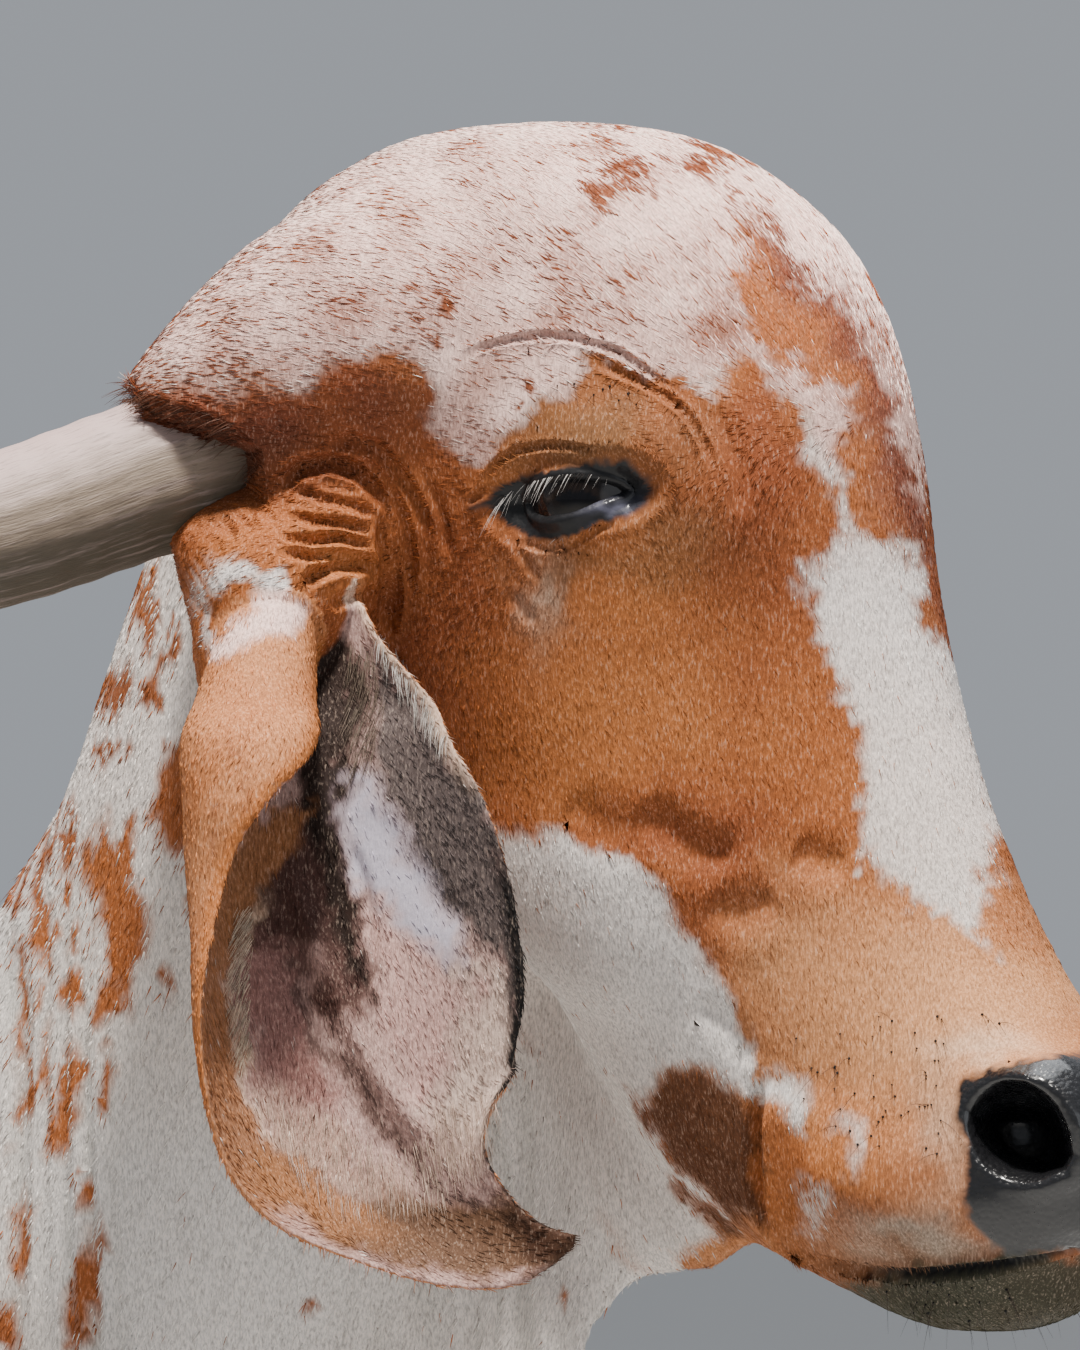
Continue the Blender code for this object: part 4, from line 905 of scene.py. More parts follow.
def paintEars(index, inside, near, pixels, brown, pale, white, bare):
    on = np.flatnonzero(index >= 0)
    px = pixels[on]
    column, inner = earColumns[index[on]], inside[on]
    outer = np.tile(np.array(colours["earTan"]), (len(on), 1))
    outer = mixed(outer, colours["orange"], 0.5 * np.clip(ripple(near[on], 0.05, 5) * 0.5 + 0.3, 0, 1))
    outer = mixed(outer, colours["darkBrown"], ramp(px[:, 0], 470, 560) * ramp(px[:, 1], 1190, 1225))
    outerWhite = edge(insideOutline(px, earWhite)[0], 16) * (1 - edge(insideOutline(px, earWhiteHole)[0], 12))
    cup = np.tile(np.array(colours["earCup"]), (len(on), 1))
    for outline, name, soft, strength in earInsides:
        cup = mixed(cup, colours[name], strength * edge(insideOutline(px, outline)[0], soft))
    fringe = 0.6 * ramp(column, 0.86, 0.97) * ramp(px[:, 1], 800, 740)
    cup = mixed(cup, colours["cream"], fringe)
    rimGap = insideOutline(px, earRimBand)[0]
    cup = mixed(cup, colours["earRim"], 0.92 * edge(rimGap, 10) * ramp(px[:, 1], 1260, 1200))
    rimLine = np.exp(-((rimGap - 4) / 5) ** 2) * ramp(px[:, 1], 880, 930) * ramp(px[:, 1], 1180, 1120)
    cup = mixed(cup, colours["cream"], 0.5 * rimLine)
    cup = mixed(cup, colours["black"], ramp(column, 0.90, 0.97) * ramp(px[:, 1], 800, 900))
    outer = mixed(outer, colours["orangeLit"], ramp(column, -0.86, -0.95) * ramp(px[:, 1], 1180, 1080))
    outer = mixed(outer, colours["black"], ramp(column, 0.90, 0.97) * ramp(px[:, 1], 800, 900))
    vein = np.minimum(distanceToLine(px, [(240, 740), (245, 773), (254, 792), (257, 816), (250, 850)])[0],
                      distanceToLine(px, [(205, 800), (214, 822), (214, 850)])[0])
    outer = mixed(outer, colours["redBrown"], 0.45 * np.exp(-(vein / 2.2) ** 2))
    brown[on] = np.where(inner[:, None], cup, outer)
    paleCup = mixed(cup, (0.84, 0.76, 0.70), np.full(len(on), 0.5))
    pale[on] = np.where(inner[:, None], paleCup, colours["roanWhite"])
    white[on] = np.where(inner, 0.14 * ramp(cup.mean(1), 0.10, 0.30), outerWhite)
    sheen = edge(insideOutline(px, earInsides[1][0])[0], 20)
    bare[on] = np.where(inner, 0.45 * sheen, 0)


def paint(points, normals, kept):
    head = toHead(points)
    near = nearSide(head)
    wobble = np.stack([ripple(near, 0.030, 11) * 6 + ripple(near, 0.009, 12) * 3,
                       ripple(near, 0.030, 13) * 6 + ripple(near, 0.009, 14) * 3], 1)
    pixels = pixelOf(near) + wobble
    truePixels = pixelOf(head) + wobble
    onHead = napeSide(head)
    farSide = head[:, 1] > 0.0
    count = len(points)
    brown = np.tile(np.array(colours["orange"]), (count, 1))
    brown = mixed(brown, colours["horseRed"], 0.55 * np.clip(ripple(near, 0.06, 21) * 0.5 + 0.4, 0, 1))
    brown = mixed(brown, colours["orangeLit"], 0.5 * np.clip(ripple(near, 0.035, 22) * 0.5, 0, 1))
    for x, y, wide, tall, name, strength in tints:
        reach = ((pixels[:, 0] - x) / wide) ** 2 + ((pixels[:, 1] - y) / tall) ** 2
        brown = mixed(brown, colours[name], onHead * strength * np.exp(-reach * 0.9))
    pale = np.tile(np.array(colours["white"]), (count, 1))
    pale = mixed(pale, colours["cream"], 0.20 * np.clip(ripple(points, 0.25, 23) * 0.5 + 0.5, 0, 1))

    # the head's white parts
    frontSide = head[:, 1] < 0.045
    roanGap = insideOutline(np.where(frontSide[:, None], truePixels, pixels), roanOutline)[0]
    roan = edge(roanGap, 16 + 26 * ramp(pixels[:, 0], 330, 250))
    density = 0.60 + 0.14 * ripple(near, 0.035, 31) + 0.22 * ramp(-roanGap, 40, 190)
    spots = inSpots(pixels + wobble * 0.6, redSpots)
    density = np.where(head[:, 1] < 0.02, density * ramp(spots, 0.85, 1.25), density)
    small = ripple(points, 0.030, 33)
    density = np.where(farSide, density * ramp(small, 1.75, 1.5), density)
    white = roan * np.clip(density, 0, 0.97)
    pale = mixed(pale, colours["roanWhite"], roan * onHead)
    brown = mixed(brown, colours["redBrown"], roan * 0.7 * onHead)
    middle = ramp(head[:, 1] + 0.004 * ripple(near, 0.02, 36), 0.062, 0.054) * (near[:, 0] > 0.02)
    front = edge(insideOutline(truePixels, frontPatch)[0] + 5 * ripple(near, 0.007, 37), 14) * middle
    rightEdge = ramp(truePixels[:, 0] - np.interp(truePixels[:, 1], *frontEdge), -48, -8)
    brown = mixed(brown, mixed(np.tile(colours["orange"], (count, 1)), colours["redBrown"], rightEdge), 0.9 * front)
    white = white * (1 - 0.96 * front)
    bump = edge(insideOutline(truePixels, farBrow)[0], 10) * middle
    brown, white = mixed(brown, colours["horseRed"], 0.8 * bump), white * (1 - 0.9 * bump)
    blaze = edge(insideOutline(truePixels, blazeOutline)[0] + 4 * ripple(near, 0.008, 38), 16) * middle
    white = np.maximum(white, (0.70 + 0.17 * ramp(truePixels[:, 1], 500, 600)) * blaze)
    white = np.maximum(white, 0.93 * edge(insideOutline(pixels, cheekOutline)[0], 16))
    for outline in smallWhites:
        white = np.maximum(white, 0.60 * edge(insideOutline(pixels, outline)[0], 16))
    dark = edge(insideOutline(pixels, darkPatch)[0], 16)
    white = white * (1 - 0.95 * dark)
    brown = mixed(brown, colours["darkBrown"], 0.80 * dark)

    # neck, body and legs: white with brown spots
    body = np.ones(count)
    facing = normals @ viewBack
    seen = (facing > -0.1) & (truePixels[:, 0] > -20) & (truePixels[:, 1] > 480) & (onHead < 0.5)
    spotGap = inSpots(truePixels, neckSpots)
    stretched = points * (1.5, 1.5, 0.75)
    blotch = ripple(stretched, 0.24, 41) + 0.35 * ripple(stretched, 0.07, 42)
    speck = ripple(stretched, 0.075, 43) + 0.3 * ripple(stretched, 0.02, 44)
    body = np.minimum(body, 1 - edge(1.05 - blotch, 0.16))
    body = np.minimum(body, 1 - edge(1.45 - speck, 0.20))
    seenBody = np.minimum(1 - edge((spotGap - 1) * 12, 3.5), 1 - edge(1.95 - speck, 0.2))
    body = np.where(seen, seenBody, body)
    bodyBrown = mixed(np.tile(np.array(colours["orange"]), (count, 1)), colours["redBrown"],
                      0.4 * np.clip(ripple(points, 0.15, 45) * 0.5 + 0.4, 0, 1))
    brown = mixed(bodyBrown, brown, onHead)
    white = onHead * white + (1 - onHead) * 0.97 * body
    # painted shade: the pale coat goes greyer lower down in the near view and in the grooves of the neck's wrinkles
    paintedLowShade = 0.30 * ramp(truePixels[:, 1], 740, 900) + 0.30 * np.clip(-neckWave(points, head), 0, 1)
    pale = mixed(pale, colours["paintedShadeGrey"], paintedLowShade)
    bare = np.zeros(count)

    # the chin's colour is partly its own dark hair and partly painted shade tinted green
    chin = edge(insideOutline(pixels, chinOutline)[0], 12) * onHead * (near[:, 0] > 0.12)
    brown, white = mixed(brown, colours["chinShadeGrey"], 0.92 * chin), white * (1 - chin)
    mark = edge(insideOutline(pixels, earWhite)[0], 14) * (1 - edge(insideOutline(pixels, earWhiteHole)[0], 12))
    white = np.maximum(white, 0.9 * mark * (kept["ear"] < 0) * (near[:, 1] < -0.11))

    # black, wet or bare places
    muzzleGap = insideOutline(pixelOf(near), muzzleOutline)[0] + 1.5 * ripple(near, 0.008, 51)
    muzzle = edge(muzzleGap, 9) * onHead * ramp(near[:, 0], 0.19, 0.20)
    atEye = (np.linalg.norm(near - eyeNear, axis=1) < 0.055)
    lidGap = insideOutline(pixelOf(near), lidOutline)[0]
    lids = edge(lidGap + 1.2 * ripple(near, 0.006, 52), 5) * atEye
    corner = distanceToLine(pixelOf(near), [(470, 508), (484, 503), (500, 506)])[0]
    lids = np.maximum(lids, 0.85 * np.exp(-(corner / 5) ** 2) * atEye)
    hole = edge(insideOutline(pixelOf(near), nostrilOpening)[0] - 4, 8)
    hole = hole * (np.linalg.norm(near - nostrilNear, axis=1) < 0.05)
    black = np.maximum.reduce([muzzle, lids, hole])
    black = np.maximum(black, 0.97 * ramp(kept["lips"], 0.25, 0.60) * ramp(pixels[:, 0], 850, 900))
    # painted highlight: a lilac sheen on the wet black lower lid
    lidHighlightSpot = np.exp(-(((pixels[:, 0] - 616) / 30) ** 2 + ((pixels[:, 1] - 505) / 8) ** 2)) * atEye
    skinBlack = mixed(np.tile(np.array(colours["black"]), (count, 1)), colours["lidSheenLilac"], 0.9 * lidHighlightSpot)
    brown = mixed(brown, skinBlack, black)
    white = white * (1 - black)
    bare = np.maximum(bare, black)
    wet = np.maximum(muzzle, 0.3 * lids)
    low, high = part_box("udder")
    udder = (ramp(points[:, 2], high.z + 0.01, high.z - 0.02)
             * ramp(np.abs(points[:, 0] - (low.x + high.x) / 2), (high.x - low.x) / 2 + 0.01, (high.x - low.x) / 2 - 0.02)
             * ramp(np.abs(points[:, 1] - (low.y + high.y) / 2), 0.115, 0.095))
    pale = mixed(pale, colours["udder"], udder)
    white = np.maximum(white, udder)
    bare = np.maximum(bare, 0.7 * udder)
    low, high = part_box("tail")
    tailTip = ramp(points[:, 0], high.x - 0.05, high.x - 0.07) * ramp(points[:, 2], 0.62, 0.50)
    brown = mixed(brown, colours["darkBrown"], tailTip)
    white = white * (1 - tailTip)
    paintEars(kept["ear"], kept["cup"], near, pixels, brown, pale, white, bare)
    return {"brown": brown, "pale": pale, "white": np.clip(white, 0, 1), "bare": bare, "wet": wet,
            "ear": kept["ear"], "near": near, "head": head, "onHead": onHead}


skinMesh = skin.data
skinPoints, skinTriangles = pointsOf(skinMesh), trianglesOf(skinMesh)
skinNormals = normalsOf(skinPoints, skinTriangles)
coat = paint(skinPoints, skinNormals, skinKept)
depth = skinPlan["bodyDepth"] + (skinPlan["headDepth"] - skinPlan["bodyDepth"]) * coat["onHead"]
depth = np.where(coat["ear"] >= 0, 0.0004, depth) * (1 - coat["bare"])
skinPoints = skinPoints - skinNormals * depth[:, None]
skinPoints[:, 2] = np.maximum(skinPoints[:, 2], 0.02)
skinMesh.vertices.foreach_set("co", skinPoints.astype(np.float32).ravel())
skinMesh.update()


def setColour(mesh, name, values):
    attribute = mesh.attributes.new(name, "FLOAT_COLOR", "POINT")
    flat = np.concatenate([values, np.ones((len(values), 1))], 1).astype(np.float32)
    attribute.data.foreach_set("color", flat.ravel())


def setNumber(mesh, name, values):
    attribute = mesh.attributes.new(name, "FLOAT", "POINT")
    attribute.data.foreach_set("value", np.asarray(values, np.float32))


setColour(skinMesh, "tone", mixed(coat["brown"], coat["pale"], coat["white"]))
setNumber(skinMesh, "wet", coat["wet"])
setNumber(skinMesh, "bare", coat["bare"])


# which way the hair lies
lie = {"whorl": (0.118, 0.0, 0.150), "neckWay": (-0.50, 0.0, -0.87), "bodyWay": (-0.80, 0.0, -0.60)}


def hairWay(points, normals, places):
    near, onHead = places["near"], places["onHead"]
    towards = unit(near - lie["whorl"])
    faceDown = np.array((faceCos, 0, faceSin))
    along = near @ faceDown
    way = mixed(towards, faceDown + np.array((-0.25, 0, 0)), ramp(along, 0.16, 0.26))
    eyeOut = unit(near - eyeNear)
    way = mixed(way, eyeOut, 0.8 * ramp(np.linalg.norm(near - eyeNear, axis=1), 0.060, 0.036))
    noseOut = unit(near - nostrilNear)
    way = mixed(way, noseOut, 0.8 * ramp(np.linalg.norm(near - nostrilNear, axis=1), 0.065, 0.040))
    ear = places["ear"]
    down = earDown[ear] + earAcross[ear] * 0.5 * earColumns[ear][:, None]
    way = np.where((ear >= 0)[:, None], down, way)
    way[:, 1] *= np.where(places["head"][:, 1] > 0, -1, 1)
    world = unit(way) @ headAxes
    legs = ramp(points[:, 2], 0.75, 0.55)
    rear = ramp(points[:, 0], 0.55, 0.30)
    body = mixed(np.tile(unit(np.array(lie["neckWay"])), (len(points), 1)), unit(np.array(lie["bodyWay"])), rear)
    body = mixed(body, (-0.15, 0, -1.0), legs)
    world = unit(mixed(body, world, onHead))
    flat = world - normals * (world * normals).sum(1)[:, None]
    short = np.linalg.norm(flat, axis=1) < 0.05
    flat[short] = np.cross(normals[short], (0.3, 0.8, 0.1))
    return unit(flat)


skinNormals = normalsOf(skinPoints, skinTriangles)


print("stage: unwrap for the coat")


def unwrapProxy():
    proxy = addObject("proxy", skinMesh.copy())
    for attribute in [a.name for a in proxy.data.attributes if a.name in ("tone", "wet", "bare")]:
        proxy.data.attributes.remove(proxy.data.attributes[attribute])
    thin = proxy.modifiers.new("thin", "DECIMATE")
    thin.ratio = 9000 / len(proxy.data.polygons)
    evaluated(proxy)
    bpy.context.view_layer.objects.active = proxy
    for obj in bpy.context.selected_objects:
        obj.select_set(False)
    proxy.select_set(True)
    bpy.ops.object.mode_set(mode="EDIT")
    bpy.ops.mesh.select_all(action="SELECT")
    bpy.ops.uv.smart_project(angle_limit=math.radians(66), island_margin=0.004)
    bpy.ops.object.mode_set(mode="OBJECT")
    mesh = proxy.data
    triangles = trianglesOf(mesh)
    loops = np.empty(len(mesh.loop_triangles) * 3, np.int32)
    mesh.loop_triangles.foreach_get("loops", loops)
    flat = np.empty(len(mesh.loops) * 2, np.float32)
    mesh.uv_layers.active.data.foreach_get("uv", flat)
    corners = flat.reshape(-1, 2)[loops].reshape(-1, 3, 2)
    points = pointsOf(mesh)
    bpy.data.objects.remove(proxy)
    return BVHTree.FromPolygons(points.tolist(), triangles.tolist()), points[triangles], corners


proxyTree, proxyCorners, proxyUvs = unwrapProxy()


def uvAt(points):
    made = np.zeros((len(points), 2))
    faces = np.array([proxyTree.find_nearest(p)[2] for p in points.tolist()])
    a, b, c = (proxyCorners[faces, i] for i in range(3))
    v0, v1, v2 = b - a, c - a, points - a
    d00, d01, d11 = (v0 * v0).sum(1), (v0 * v1).sum(1), (v1 * v1).sum(1)
    d20, d21 = (v2 * v0).sum(1), (v2 * v1).sum(1)
    under = np.maximum(d00 * d11 - d01 * d01, 1e-16)
    v, w = (d11 * d20 - d01 * d21) / under, (d00 * d21 - d01 * d20) / under
    v, w = np.clip(v, 0, 1), np.clip(w, 0, 1)
    total = np.maximum(v + w, 1)
    v, w = v / total, w / total
    uv = proxyUvs[faces]
    made = uv[:, 0] * (1 - v - w)[:, None] + uv[:, 1] * v[:, None] + uv[:, 2] * w[:, None]
    return made


# one wrapper for sockets, so that shader maths reads as sums
class Wire:
    def __init__(self, tree, socket):
        self.tree, self.socket = tree, socket

    def node(self, kind, settings=None, **values):
        made = self.tree.nodes.new(kind)
        for key, value in (settings or {}).items():
            if key == "stops":
                ramp_ = made.color_ramp
                while len(ramp_.elements) < len(value):
                    ramp_.elements.new(0.5)
                for stop, (at, colour) in zip(ramp_.elements, value):
                    stop.position, stop.color = at, (*colour, 1)
            else:
                setattr(made, key, value)
        for key, value in values.items():
            socket = made.inputs[int(key[1:])] if key[0] == "i" and key[1:].isdigit() else made.inputs[key.replace("_", " ")]
            if isinstance(value, Wire):
                self.tree.links.new(value.socket, socket)
            else:
                socket.default_value = value
        return made

    def sum(self, operation, a, b=0.5):
        return Wire(self.tree, self.node("ShaderNodeMath", {"operation": operation}, i0=a, i1=b).outputs[0])

    def __add__(self, other):
        return self.sum("ADD", self, other)

    def __radd__(self, other):
        return self.sum("ADD", other, self)

    def __sub__(self, other):
        return self.sum("SUBTRACT", self, other)

    def __rsub__(self, other):
        return self.sum("SUBTRACT", other, self)

    def __mul__(self, other):
        return self.sum("MULTIPLY", self, other)

    def __rmul__(self, other):
        return self.sum("MULTIPLY", other, self)

    def __truediv__(self, other):
        return self.sum("DIVIDE", self, other)

    def __rtruediv__(self, other):
        return self.sum("DIVIDE", other, self)

    def __pow__(self, other):
        return self.sum("POWER", self, other)

    def mixColour(self, a, b, blend="MIX"):
        made = self.node("ShaderNodeMix", {"data_type": "RGBA", "blend_type": blend, "clamp_factor": True}, i0=self, i6=a, i7=b)
        return Wire(self.tree, made.outputs[2])

    def noise(self, scale, detail=2.0, roughness=0.5):
        made = self.node("ShaderNodeTexNoise", None, Vector=self, Scale=scale, Detail=detail, Roughness=roughness)
        return Wire(self.tree, made.outputs[0])

    def stretched(self, scale, turn=(0, 0, 0)):
        made = self.node("ShaderNodeMapping", None, Vector=self, Scale=scale, Rotation=turn)
        return Wire(self.tree, made.outputs[0])

    def out(self, made, output=0):
        return Wire(self.tree, made.outputs[output])


def startMaterial(name, roughness, specular=0.35):
    made = bpy.data.materials.new(name)
    made.use_nodes = True
    tree = made.node_tree
    shader = tree.nodes["Principled BSDF"]
    shader.inputs["Roughness"].default_value = roughness
    shader.inputs["Specular IOR Level"].default_value = specular
    place = Wire(tree, tree.nodes.new("ShaderNodeTexCoord").outputs["Object"])
    return made, tree, shader, place


def attributeWire(tree, name, output):
    made = tree.nodes.new("ShaderNodeAttribute")
    made.attribute_name = name
    return Wire(tree, made.outputs[output])


def bumped(tree, shader, height, strength, distance):
    bump = tree.nodes.new("ShaderNodeBump")
    bump.inputs["Strength"].default_value = strength
    bump.inputs["Distance"].default_value = distance
    tree.links.new(height.socket, bump.inputs["Height"])
    tree.links.new(bump.outputs[0], shader.inputs["Normal"])


def hideMaterial():
    made, tree, shader, place = startMaterial("cowHide", 0.62, 0.14)
    shader.inputs["Coat Roughness"].default_value = 0.16
    tone = attributeWire(tree, "tone", "Color")
    wet = attributeWire(tree, "wet", "Fac")
    bare = attributeWire(tree, "bare", "Fac")
    streak = place.stretched((1, 1, 0.3)).noise(1000, 4.0, 0.65)
    cells = place.node("ShaderNodeTexVoronoi", {"feature": "F1"}, Vector=place, Scale=430.0)
    cobble = place.out(cells) * wet
    wrinkle = place.noise(170, 4.0, 0.6)
    furry = 1 - bare
    # hair streaks on the skin: the dark ones are painted shade between hairs, the pale ones painted highlights on them
    dark = (furry * (0.58 - streak) * 3.4).mixColour(tone, (0.030, 0.018, 0.012, 1))
    lit = (furry * (streak - 0.54) * 2.2).mixColour(dark, (0.86, 0.66, 0.52, 1))
    tree.links.new((furry * 0.60).mixColour(tone, lit).socket, shader.inputs["Base Color"])
    tree.links.new((0.66 - wet * 0.40 + cobble * 0.08).socket, shader.inputs["Roughness"])
    tree.links.new((wet * 0.9).socket, shader.inputs["Coat Weight"])
    bumped(tree, shader, streak * furry * 0.8 + wrinkle * 0.4 - cobble * 0.9, 0.65, 0.0011)
    return made


def coatShader(name, roughness):
    made, tree, shader, place = startMaterial(name, roughness, 0.12)
    tone = attributeWire(tree, "tone", "Color")
    fine = place.noise(650, 2.0, 0.6)
    tree.links.new(((fine - 0.35) * 0.55).mixColour(tone, (0.020, 0.012, 0.008, 1)).socket, shader.inputs["Base Color"])
    return made


# the trees for what repeats
def geometryTree(name, inputs):
    tree = bpy.data.node_groups.new(name, "GeometryNodeTree")
    tree.interface.new_socket("Geometry", in_out="INPUT", socket_type="NodeSocketGeometry")
    for label, kind, value in inputs:
        socket = tree.interface.new_socket(label, in_out="INPUT", socket_type="NodeSocket" + kind)
        if value is not None:
            socket.default_value = value
    tree.interface.new_socket("Geometry", in_out="OUTPUT", socket_type="NodeSocketGeometry")
    start = tree.nodes.new("NodeGroupInput")
    return tree, {socket.name: Wire(tree, socket) for socket in start.outputs if socket.name}


def endTree(tree, geometry, material):
    solid = geometry.node("GeometryNodeRealizeInstances", None, Geometry=geometry)
    painted = geometry.node("GeometryNodeSetMaterial", None, Geometry=geometry.out(solid), Material=material)
    end = tree.nodes.new("NodeGroupOutput")
    tree.links.new(painted.outputs[0], end.inputs[0])


def grown(obj, tree, values):
    modifier = obj.modifiers.new(tree.name, "NODES")
    modifier.node_group = tree
    for item in tree.interface.items_tree:
        if item.item_type == "SOCKET" and item.in_out == "INPUT" and item.name in values:
            modifier[item.identifier] = values[item.name]
    return evaluated(obj)


def named(wire, kind, name):
    made = wire.node("GeometryNodeInputNamedAttribute", {"data_type": kind})
    made.inputs["Name"].default_value = name
    return wire.out(made)


def coatTree():
    tree, given = geometryTree("coatTree", (("Tuft", "Object", None), ("Coat", "Material", None)))
    roots = given["Geometry"]
    tuft = roots.node("GeometryNodeObjectInfo", None, Object=given["Tuft"])
    turn = roots.node("FunctionNodeAxesToRotation", {"primary_axis": "X", "secondary_axis": "Z"})
    tree.links.new(named(roots, "FLOAT_VECTOR", "along").socket, turn.inputs[0])
    tree.links.new(named(roots, "FLOAT_VECTOR", "outward").socket, turn.inputs[1])
    tufts = roots.node("GeometryNodeInstanceOnPoints", None, Points=roots, Rotation=roots.out(turn),
                       Scale=named(roots, "FLOAT_VECTOR", "reach"))
    tree.links.new(tuft.outputs["Geometry"], tufts.inputs["Instance"])
    endTree(tree, roots.out(tufts), given["Coat"])
    return tree


def strandTree():
    # tapered strands along guide lines: whiskers, lashes, long hair and the locks of the tail
    tree, given = geometryTree("strandTree", (("Points", "Int", 8), ("Sides", "Int", 3), ("Flatness", "Float", 1.0),
                                              ("Twist", "Float", 0.6), ("Seed", "Int", 4), ("Finish", "Material", None)))
    guides = given["Geometry"]
    curve = guides.out(guides.node("GeometryNodeMeshToCurve", None, Mesh=guides))
    curve = guides.out(guides.node("GeometryNodeResampleCurve", None, Curve=curve, Count=given["Points"]))
    twist = guides.node("FunctionNodeRandomValue", {"data_type": "FLOAT"}, Seed=given["Seed"])
    tree.links.new((given["Twist"] * -1).socket, twist.inputs[2])
    tree.links.new(given["Twist"].socket, twist.inputs[3])
    curve = guides.out(guides.node("GeometryNodeSetCurveTilt", None, Curve=curve, Tilt=guides.out(twist, 1)))
    thick = named(guides, "FLOAT", "thick")
    curve = guides.out(guides.node("GeometryNodeSetCurveRadius", None, Curve=curve, Radius=thick))
    ring = guides.node("GeometryNodeCurvePrimitiveCircle", None, Resolution=given["Sides"], Radius=1.0)
    flat = guides.node("ShaderNodeCombineXYZ", None, i0=1.0, i1=given["Flatness"], i2=1.0)
    ring = guides.node("GeometryNodeTransform", None, Geometry=guides.out(ring), Scale=guides.out(flat))
    solid = guides.node("GeometryNodeCurveToMesh", None, Curve=curve, Profile_Curve=guides.out(ring), Fill_Caps=True)
    if "Scale" in solid.inputs:
        tree.links.new(thick.socket, solid.inputs["Scale"])
    endTree(tree, guides.out(solid), given["Finish"])
    return tree


def guideObject(name, lines, radii, tones):
    # lines: strands x points x 3, radii: strands x points, tones: strands x points x 3
    count, steps = lines.shape[:2]
    mesh = bpy.data.meshes.new(name)
    mesh.vertices.add(count * steps)
    mesh.vertices.foreach_set("co", lines.astype(np.float32).ravel())
    index = np.arange(count * steps).reshape(count, steps)
    pairs = np.stack([index[:, :-1], index[:, 1:]], 2).reshape(-1, 2)
    mesh.edges.add(len(pairs))
    mesh.edges.foreach_set("vertices", pairs.astype(np.int32).ravel())
    setNumber(mesh, "thick", radii.ravel())
    setColour(mesh, "tone", tones.reshape(-1, 3))
    return addObject(name, mesh)


def strands(name, lines, radii, tones, finish, points=8, sides=3, flatness=1.0, twist=0.0):
    obj = guideObject(name, lines, radii, tones)
    grown(obj, hairTree, {"Points": points, "Sides": sides, "Flatness": flatness, "Twist": twist, "Finish": finish})
    mesh = obj.data
    if "thick" in mesh.attributes:
        mesh.attributes.remove(mesh.attributes["thick"])
    mesh.polygons.foreach_set("use_smooth", np.ones(len(mesh.polygons), bool))
    return obj


hide = hideMaterial()
coatMaterial = coatShader("cowCoat", 0.55)
hairMaterial = coatShader("longHair", 0.45)
tuftTree, hairTree = coatTree(), strandTree()
skinMesh.materials.clear()
skinMesh.materials.append(hide)
skinMesh.polygons.foreach_set("use_smooth", np.ones(len(skinMesh.polygons), bool))

print("stage: coat")
# tufts: how many, how long, wide and high and how far the tip stands off, in metres
coatPlan = {"share": 1.0,
            "head": {"count": 158000, "long": 0.0056, "wide": 0.00067, "lift": 0.00044},
            "ears": {"count": 52000, "long": 0.0060, "wide": 0.00050, "lift": 0.00060},
            "neck": {"count": 50000, "long": 0.0072, "wide": 0.00090, "lift": 0.00050},
            "body": {"count": 57000, "long": 0.0190, "wide": 0.0032, "lift": 0.00110},
            "patch": 0.003, "pieceTufts": 47000, "spread": 0.17, "vary": (0.58, 1.42)}


def surface(points, triangles, normals, kept):
    return {"points": points, "triangles": triangles, "normals": normals, "kept": kept}


def scatter(base, weights, count, seed):
    triangles = base["triangles"]
    a, b, c = (base["points"][triangles[:, i]] for i in range(3))
    areas = np.linalg.norm(np.cross(b - a, c - a), axis=1) / 2 * weights[triangles].mean(1)
    total = np.cumsum(areas)
    dice = np.random.default_rng(seed)
    picks = (np.arange(count) + dice.uniform(0, 1, count)) / count * total[-1]
    faces = np.searchsorted(total, picks).clip(0, len(areas) - 1)
    u, v = dice.uniform(0, 1, (2, count))
    flip = u + v > 1
    u, v = np.where(flip, 1 - u, u), np.where(flip, 1 - v, v)
    return triangles[faces], np.stack([1 - u - v, u, v], 1), dice


def blended(values, corners, shares):
    values = np.asarray(values, float)
    if values.ndim == 1:
        return (values[corners] * shares).sum(1)
    return (values[corners] * shares[:, :, None]).sum(1)


def tuftShape():
    mesh = fastMesh("tuftShape", [(0, .5, 0), (0, -.5, 0), (.38, 0, 1), (1, 0, .8)], [(0, 2, 1), (0, 3, 2), (1, 2, 3), (0, 1, 3)])
    return addObject("tuftShape", mesh)


def tuftScale(points, near, onHead):
    size = 0.70 + 0.30 * ramp(np.linalg.norm(near - eyeNear, axis=1), 0.026, 0.050)
    size *= 0.55 + 0.45 * ramp(np.linalg.norm(near - nostrilNear, axis=1), 0.045, 0.100)
    hornGap = np.linalg.norm(near - hornBaseNear, axis=1)
    size *= 1 + 0.25 * ramp(hornGap, 0.105, 0.050) * (near[:, 2] < 0.165)
    size *= np.where(onHead > 0.5, 0.85 + 0.40 * ramp(near[:, 2], 0.13, 0.05), 1.0)
    return size * np.where(points[:, 2] < 0.5, 0.55 + 0.9 * np.clip(points[:, 2], 0, 0.5), 1.0)


